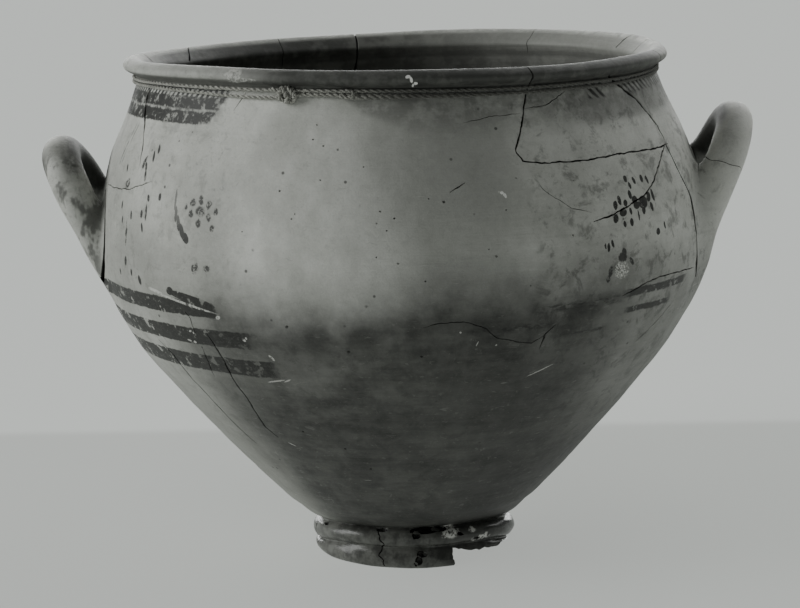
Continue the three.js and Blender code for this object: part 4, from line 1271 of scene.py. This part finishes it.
CLAY_LIGHT = (0.58, 0.585, 0.55)
CLAY_WARM = (0.50, 0.505, 0.47)
CLAY_GREY = (0.34, 0.345, 0.32)
PLASTER_A = (0.66, 0.665, 0.63)
PLASTER_B = (0.50, 0.505, 0.472)
LOW_A = (0.055, 0.0565, 0.051)
LOW_B = (0.028, 0.029, 0.0262)
DIRT_AND_SHADE = (0.14, 0.143, 0.13)
SMOKE_AND_SHADE = (0.034, 0.035, 0.0315)
PAINT_A = (0.016, 0.0165, 0.0148)
PAINT_B = (0.036, 0.037, 0.0335)
CHIP_AND_LIGHT = (0.72, 0.72, 0.68)
FOOT_A = (0.13, 0.133, 0.122)
FOOT_B = (0.05, 0.0512, 0.047)
BREAK_A = (0.060, 0.061, 0.056)
BREAK_B = (0.026, 0.0265, 0.024)
CRACK = (0.012, 0.012, 0.0105)
WHITE = (0.93, 0.93, 0.90)
SLIP_A = (0.075, 0.077, 0.07)
SLIP_B = (0.15, 0.153, 0.14)


# ---------------------------------------------------------------- twine
def neck_point(phi, z, off):
    r = body_radius(z) + off
    p = np.radians(phi)
    return place(np.stack([r * np.sin(p), -r * np.cos(p), np.broadcast_to(z, np.shape(p))], -1)) / MM


def plied(line, radius, pitch, sides=7, start=0.0, plies=2):
    """Twisted cord round a centre line: verts and faces."""
    t = np.gradient(line, axis=0)
    t /= np.linalg.norm(t, axis=1, keepdims=True)
    u = np.cross(t[0], [0.13, 0.2, 0.97])
    u /= np.linalg.norm(u)
    us = [u]
    for i in range(1, len(line)):
        q = us[-1] - t[i] * np.dot(us[-1], t[i])
        us.append(q / np.linalg.norm(q))
    us = np.array(us)
    vs = np.cross(t, us)
    s = np.concatenate([[0], np.cumsum(np.linalg.norm(np.diff(line, axis=0), axis=1))])
    V, F = [], []
    for k in range(plies):
        a = 2 * np.pi * s / pitch + start + 2 * np.pi * k / plies
        c = line + (np.broadcast_to(radius, (len(line),)) * 0.50)[:, None] * (np.cos(a)[:, None] * us + np.sin(a)[:, None] * vs)
        rr = radius * 0.56 * (1 + 0.06 * np.sin(s * 2.3 + k) + 0.05 * np.sin(s * 5.1 + 2 * k))
        v, f = sweep(c, rr, sides)
        o = len(V)
        V += v
        F += [tuple(o + i for i in q) for q in f]
    return V, F


KNOT_PHI, EYE_PHI = -22.2, -9.3


def make_twine():
    V, F = [], []

    def add(vf):
        o = len(V)
        V.extend(vf[0])
        F.extend(tuple(o + i for i in q) for q in vf[1])

    def wave(p, seed):
        q = np.radians(p)
        return 0.16 * np.sin(3 * q + seed) + 0.10 * np.sin(7 * q + 2 * seed) + 0.06 * np.sin(17 * q + seed)

    # upper turn
    ph = np.linspace(KNOT_PHI + 1.4, KNOT_PHI + 360 - 1.4, 1500)
    z = 298.5 + wave(ph, 1.0)
    add(plied(neck_point(ph, z, 1.55), 1.02 * (1 + 0.12 * np.sin(ph * 0.21) * np.sin(ph * 0.057)), 8.4, sides=6))
    # lower turn: slack left of the knot, snug elsewhere
    z = 296.1 + wave(ph, 2.4) - 2.3 * ease((ph - (KNOT_PHI + 322)) / 36)
    off = np.full_like(ph, 1.55)
    thick = 1.06
    add(plied(neck_point(ph, z, off), thick * (1 + 0.14 * np.sin(ph * 0.17 + 1) * np.sin(ph * 0.043)), 7.6, start=1.0, sides=6))
    # a doubled stretch right of the eye
    ph2 = np.linspace(EYE_PHI + 0.3, EYE_PHI + 44, 230)
    z2 = 295.2 + wave(ph2, 0.3) + 0.5 * ease((ph2 - EYE_PHI - 8) / 30)
    taper = 1.30 - 0.35 * ease((ph2 - EYE_PHI - 6) / 12)
    pts = neck_point(ph2, z2, 1.9)
    add(plied(pts, 1.45 - 0.35 * ease((ph2 - EYE_PHI - 5) / 14), 9.0, start=0.4, sides=6))
    # knot: two overhand turns drawn tight
    c, n = neck_point(np.array([KNOT_PHI]), np.array([296.0]), 3.0)[0], None
    q = math.radians(KNOT_PHI)
    n = np.array([math.sin(q), -math.cos(q), 0.0])
    e = np.array([math.cos(q), math.sin(q), 0.0])
    k = np.array([0, 0, 1.0])
    s = np.linspace(0, 2 * np.pi, 120, endpoint=True)
    for (a, b, d, ph0, tilt) in ((4.6, 3.5, 1.9, 0.0, 0.0), (3.4, 4.1, 1.7, 1.2, 0.6)):
        line = (c + (a * np.cos(s + ph0) + 0.9 * np.cos(2 * s + tilt))[:, None] * e
                + (b * np.sin(s + ph0) * 0.95 + 0.8 * np.sin(2 * s))[:, None] * k
                + (d * np.cos(3 * s + ph0) * 0.8 + 0.4)[:, None] * n)
        add(plied(line, 1.25, 5.2, sides=7))
    line = np.stack([c + e * x0 + k * z0 + n * y0 for x0, z0, y0 in ((-0.8, -4.2, 0.4), (1.2, -1.2, 2.6), (0.2, 1.8, 2.9), (-1.8, 4.4, 0.6))])
    add(plied(smooth_line(line, 0.35), 1.2, 5.2, sides=7))
    # stub with frayed end, to the knot's left
    line = np.stack([c + e * x0 + k * z0 + n * y0 for x0, z0, y0 in ((-2.2, 1.0, 0.8), (-5.0, 2.6, 1.6), (-7.6, 3.2, 1.8), (-9.6, 2.9, 1.4))])
    add(plied(smooth_line(line, 0.35), 1.15, 5.0, sides=7))
    # eye: the bight the running end passes through
    c2 = neck_point(np.array([EYE_PHI]), np.array([297.0]), 2.3)[0]
    q = math.radians(EYE_PHI)
    n2 = np.array([math.sin(q), -math.cos(q), 0.0])
    e2 = np.array([math.cos(q), math.sin(q), 0.0])
    line = np.stack([c2 + e2 * x0 + k * z0 + n2 * y0 for x0, z0, y0 in ((-5.5, 1.4, 0.2), (-2.6, 1.7, 0.5), (0.2, 2.0, 0.9), (2.4, 0.9, 1.2), (2.2, -0.9, 1.0), (0.0, -1.8, 0.6), (-3.0, -1.6, 0.3), (-5.5, -1.3, 0.1))])
    add(plied(smooth_line(line, 0.4), 1.0, 5.6, sides=7))
    # stray fibres
    g = np.random.default_rng(5)
    for i in range(150):
        a = KNOT_PHI + g.uniform(-110, 160)
        base = neck_point(np.array([a]), np.array([g.choice([298.5, 296.0])]), 1.6)[0]
        if i < 46:
            base = c + e * g.uniform(-9.8, 4.0) + k * g.uniform(-3, 3.4) + n * g.uniform(0.2, 1.8)
            a = KNOT_PHI
        q = math.radians(a)
        out = np.array([math.sin(q), -math.cos(q), 0.0])
        tan = np.array([math.cos(q), math.sin(q), 0.0])
        d = out * g.uniform(0.3, 1.0) + tan * g.normal(0, 0.7) + k * g.normal(0, 0.6)
        d /= np.linalg.norm(d)
        ln = g.uniform(0.9, 2.3)
        bend = np.cross(d, [0.3, 0.1, 1.0]) * g.normal(0, 0.5)
        tt = np.linspace(0, 1, 5)[:, None]
        add(sweep(base + d * ln * tt + bend * tt ** 2, np.linspace(0.09, 0.04, 5), 3))
    ob = make_mesh("twine", np.array(V) * MM, F)
    me = ob.data
    me.polygons.foreach_set("use_smooth", np.ones(len(me.polygons), bool))
    return ob


def twine_material():
    m, g = material("twine_fibre")
    tc = g.new("ShaderNodeTexCoord")
    v = tc.outputs["Object"]
    a = g.noise(v, 900.0, 3, 0.6)
    b = g.noise(v, 60.0, 3, 0.6)
    col = g.mix(g.step(a, 0.35, 0.68), (0.44, 0.44, 0.40), (0.22, 0.22, 0.20))
    sx = g.new("ShaderNodeSeparateXYZ")
    g.put(sx.inputs[0], v)
    col = g.mix(g.mul(g.step(b, 0.5, 0.7), 0.4), col, (0.13, 0.13, 0.115))
    # painted shadow: the twine's right half is darkened where the rim's shadow falls on it
    col = g.mix(g.mul(g.step(sx.outputs[0], -0.05, 0.01), 0.84), col, (0.075, 0.075, 0.067))
    s = g.new("ShaderNodeBsdfPrincipled")
    g.put(s.inputs["Base Color"], col)
    s.inputs["Roughness"].default_value = 0.9
    s.inputs["Specular IOR Level"].default_value = 0.15
    s.inputs["Sheen Weight"].default_value = 0.25
    bump = g.new("ShaderNodeBump")
    bump.inputs["Strength"].default_value = 0.6
    bump.inputs["Distance"].default_value = 0.0004
    g.put(bump.inputs["Height"], a)
    g.put(s.inputs["Normal"], bump.outputs["Normal"])
    o = g.new("ShaderNodeOutputMaterial")
    g.put(o.inputs["Surface"], s.outputs[0])
    return m


# ---------------------------------------------------------------- stage, light, camera
def make_floor():
    ob = make_mesh("floor", [(-14, -14, 0), (14, -14, 0), (14, 14, 0), (-14, 14, 0)], [(0, 1, 2, 3)])
    m, g = material("floor_paper")
    tc = g.new("ShaderNodeTexCoord")
    sep = g.new("ShaderNodeSeparateXYZ")
    g.put(sep.inputs[0], tc.outputs["Object"])
    far = g.step(sep.outputs[1], 0.268, 0.292)
    n = g.noise(tc.outputs["Object"], 3.0, 3, 0.5)
    near = g.mix(n, (0.60, 0.617, 0.598), (0.63, 0.647, 0.628))
    col = g.mix(far, near, (0.735, 0.757, 0.738))
    s = g.new("ShaderNodeBsdfPrincipled")
    g.put(s.inputs["Base Color"], col)
    s.inputs["Roughness"].default_value = 0.9
    s.inputs["Specular IOR Level"].default_value = 0.1
    o = g.new("ShaderNodeOutputMaterial")
    g.put(o.inputs["Surface"], s.outputs[0])
    ob.data.materials.append(m)
    return ob


def make_camera():
    eye, right, up, fwd = view_frame()
    cam = bpy.data.cameras.new("camera")
    cam.sensor_width = 36.0
    cam.lens = 36.0 * 2632.5 / 800.0
    cam.clip_start, cam.clip_end = 0.05, 60.0
    ob = bpy.data.objects.new("camera", cam)
    SCENE.collection.objects.link(ob)
    m = Matrix((right, up, -fwd)).transposed().to_4x4()
    m.translation = eye
    ob.matrix_world = m
    SCENE.camera = ob
    return ob


def make_light():
    w = bpy.data.worlds.new("studio")
    w.use_nodes = True
    nt = w.node_tree
    nt.nodes.clear()
    bg = nt.nodes.new("ShaderNodeBackground")
    bg.inputs["Color"].default_value = (0.965, 1.0, 0.975, 1)
    bg.inputs["Strength"].default_value = 0.11
    out = nt.nodes.new("ShaderNodeOutputWorld")
    nt.links.new(bg.outputs[0], out.inputs[0])
    SCENE.world = w
    # windows: left, behind, and behind on the right; the room in front stays dim
    for name, az, el, energy, spread in LIGHTS:
        sun(name, az, el, energy, spread)


LIGHTS = (("window_left", -87, 20, 2.15, 36), ("window_back", -180, 14, 2.7, 50), ("window_right", 135, 38, 1.15, 45))


def sun(name, az, el, energy, spread):
    d = bpy.data.lights.new(name, "SUN")
    d.energy = energy
    d.angle = math.radians(spread)
    d.color = (0.985, 1.0, 0.985)
    ob = bpy.data.objects.new(name, d)
    az, el = math.radians(az), math.radians(el)
    to = Vector((math.sin(az) * math.cos(el), -math.cos(az) * math.cos(el), math.sin(el)))
    ob.rotation_mode = "QUATERNION"
    ob.rotation_quaternion = to.to_track_quat("Z", "Y")
    SCENE.collection.objects.link(ob)
    return ob


def light_apart(floor, pieces):
    """The floor has its own even light and a weak one that the pieces shade; the three windows light the pieces only.
    """
    pots = bpy.data.collections.new("lit_pieces")
    ground = bpy.data.collections.new("lit_floor")
    for o in pieces:
        pots.objects.link(o)
    ground.objects.link(floor)
    for name in ("window_left", "window_back", "window_right"):
        bpy.data.objects[name].light_linking.receiver_collection = pots
    even = sun("floor_light", 0, 80, FLOOR_LIGHT, 60)
    even.light_linking.receiver_collection = ground
    even.light_linking.blocker_collection = ground
    soft = sun("floor_shade", -62, 40, 0.2, 24)
    soft.light_linking.receiver_collection = ground


FLOOR_LIGHT = 2.40

make_camera()
make_light()
floor_ob = make_floor()
body = make_krater()
body.data.materials.clear()
body.data.materials.append(clay_material())
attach(body, "root")
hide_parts("krater")
string = make_twine()
string.data.materials.append(twine_material())
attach(string, "root")
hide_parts("binding_string")

light_apart(floor_ob, [body, string])

tris = {o.name: sum(len(p.vertices) - 2 for p in o.data.polygons) for o in (body, string)}
print("triangles", tris)
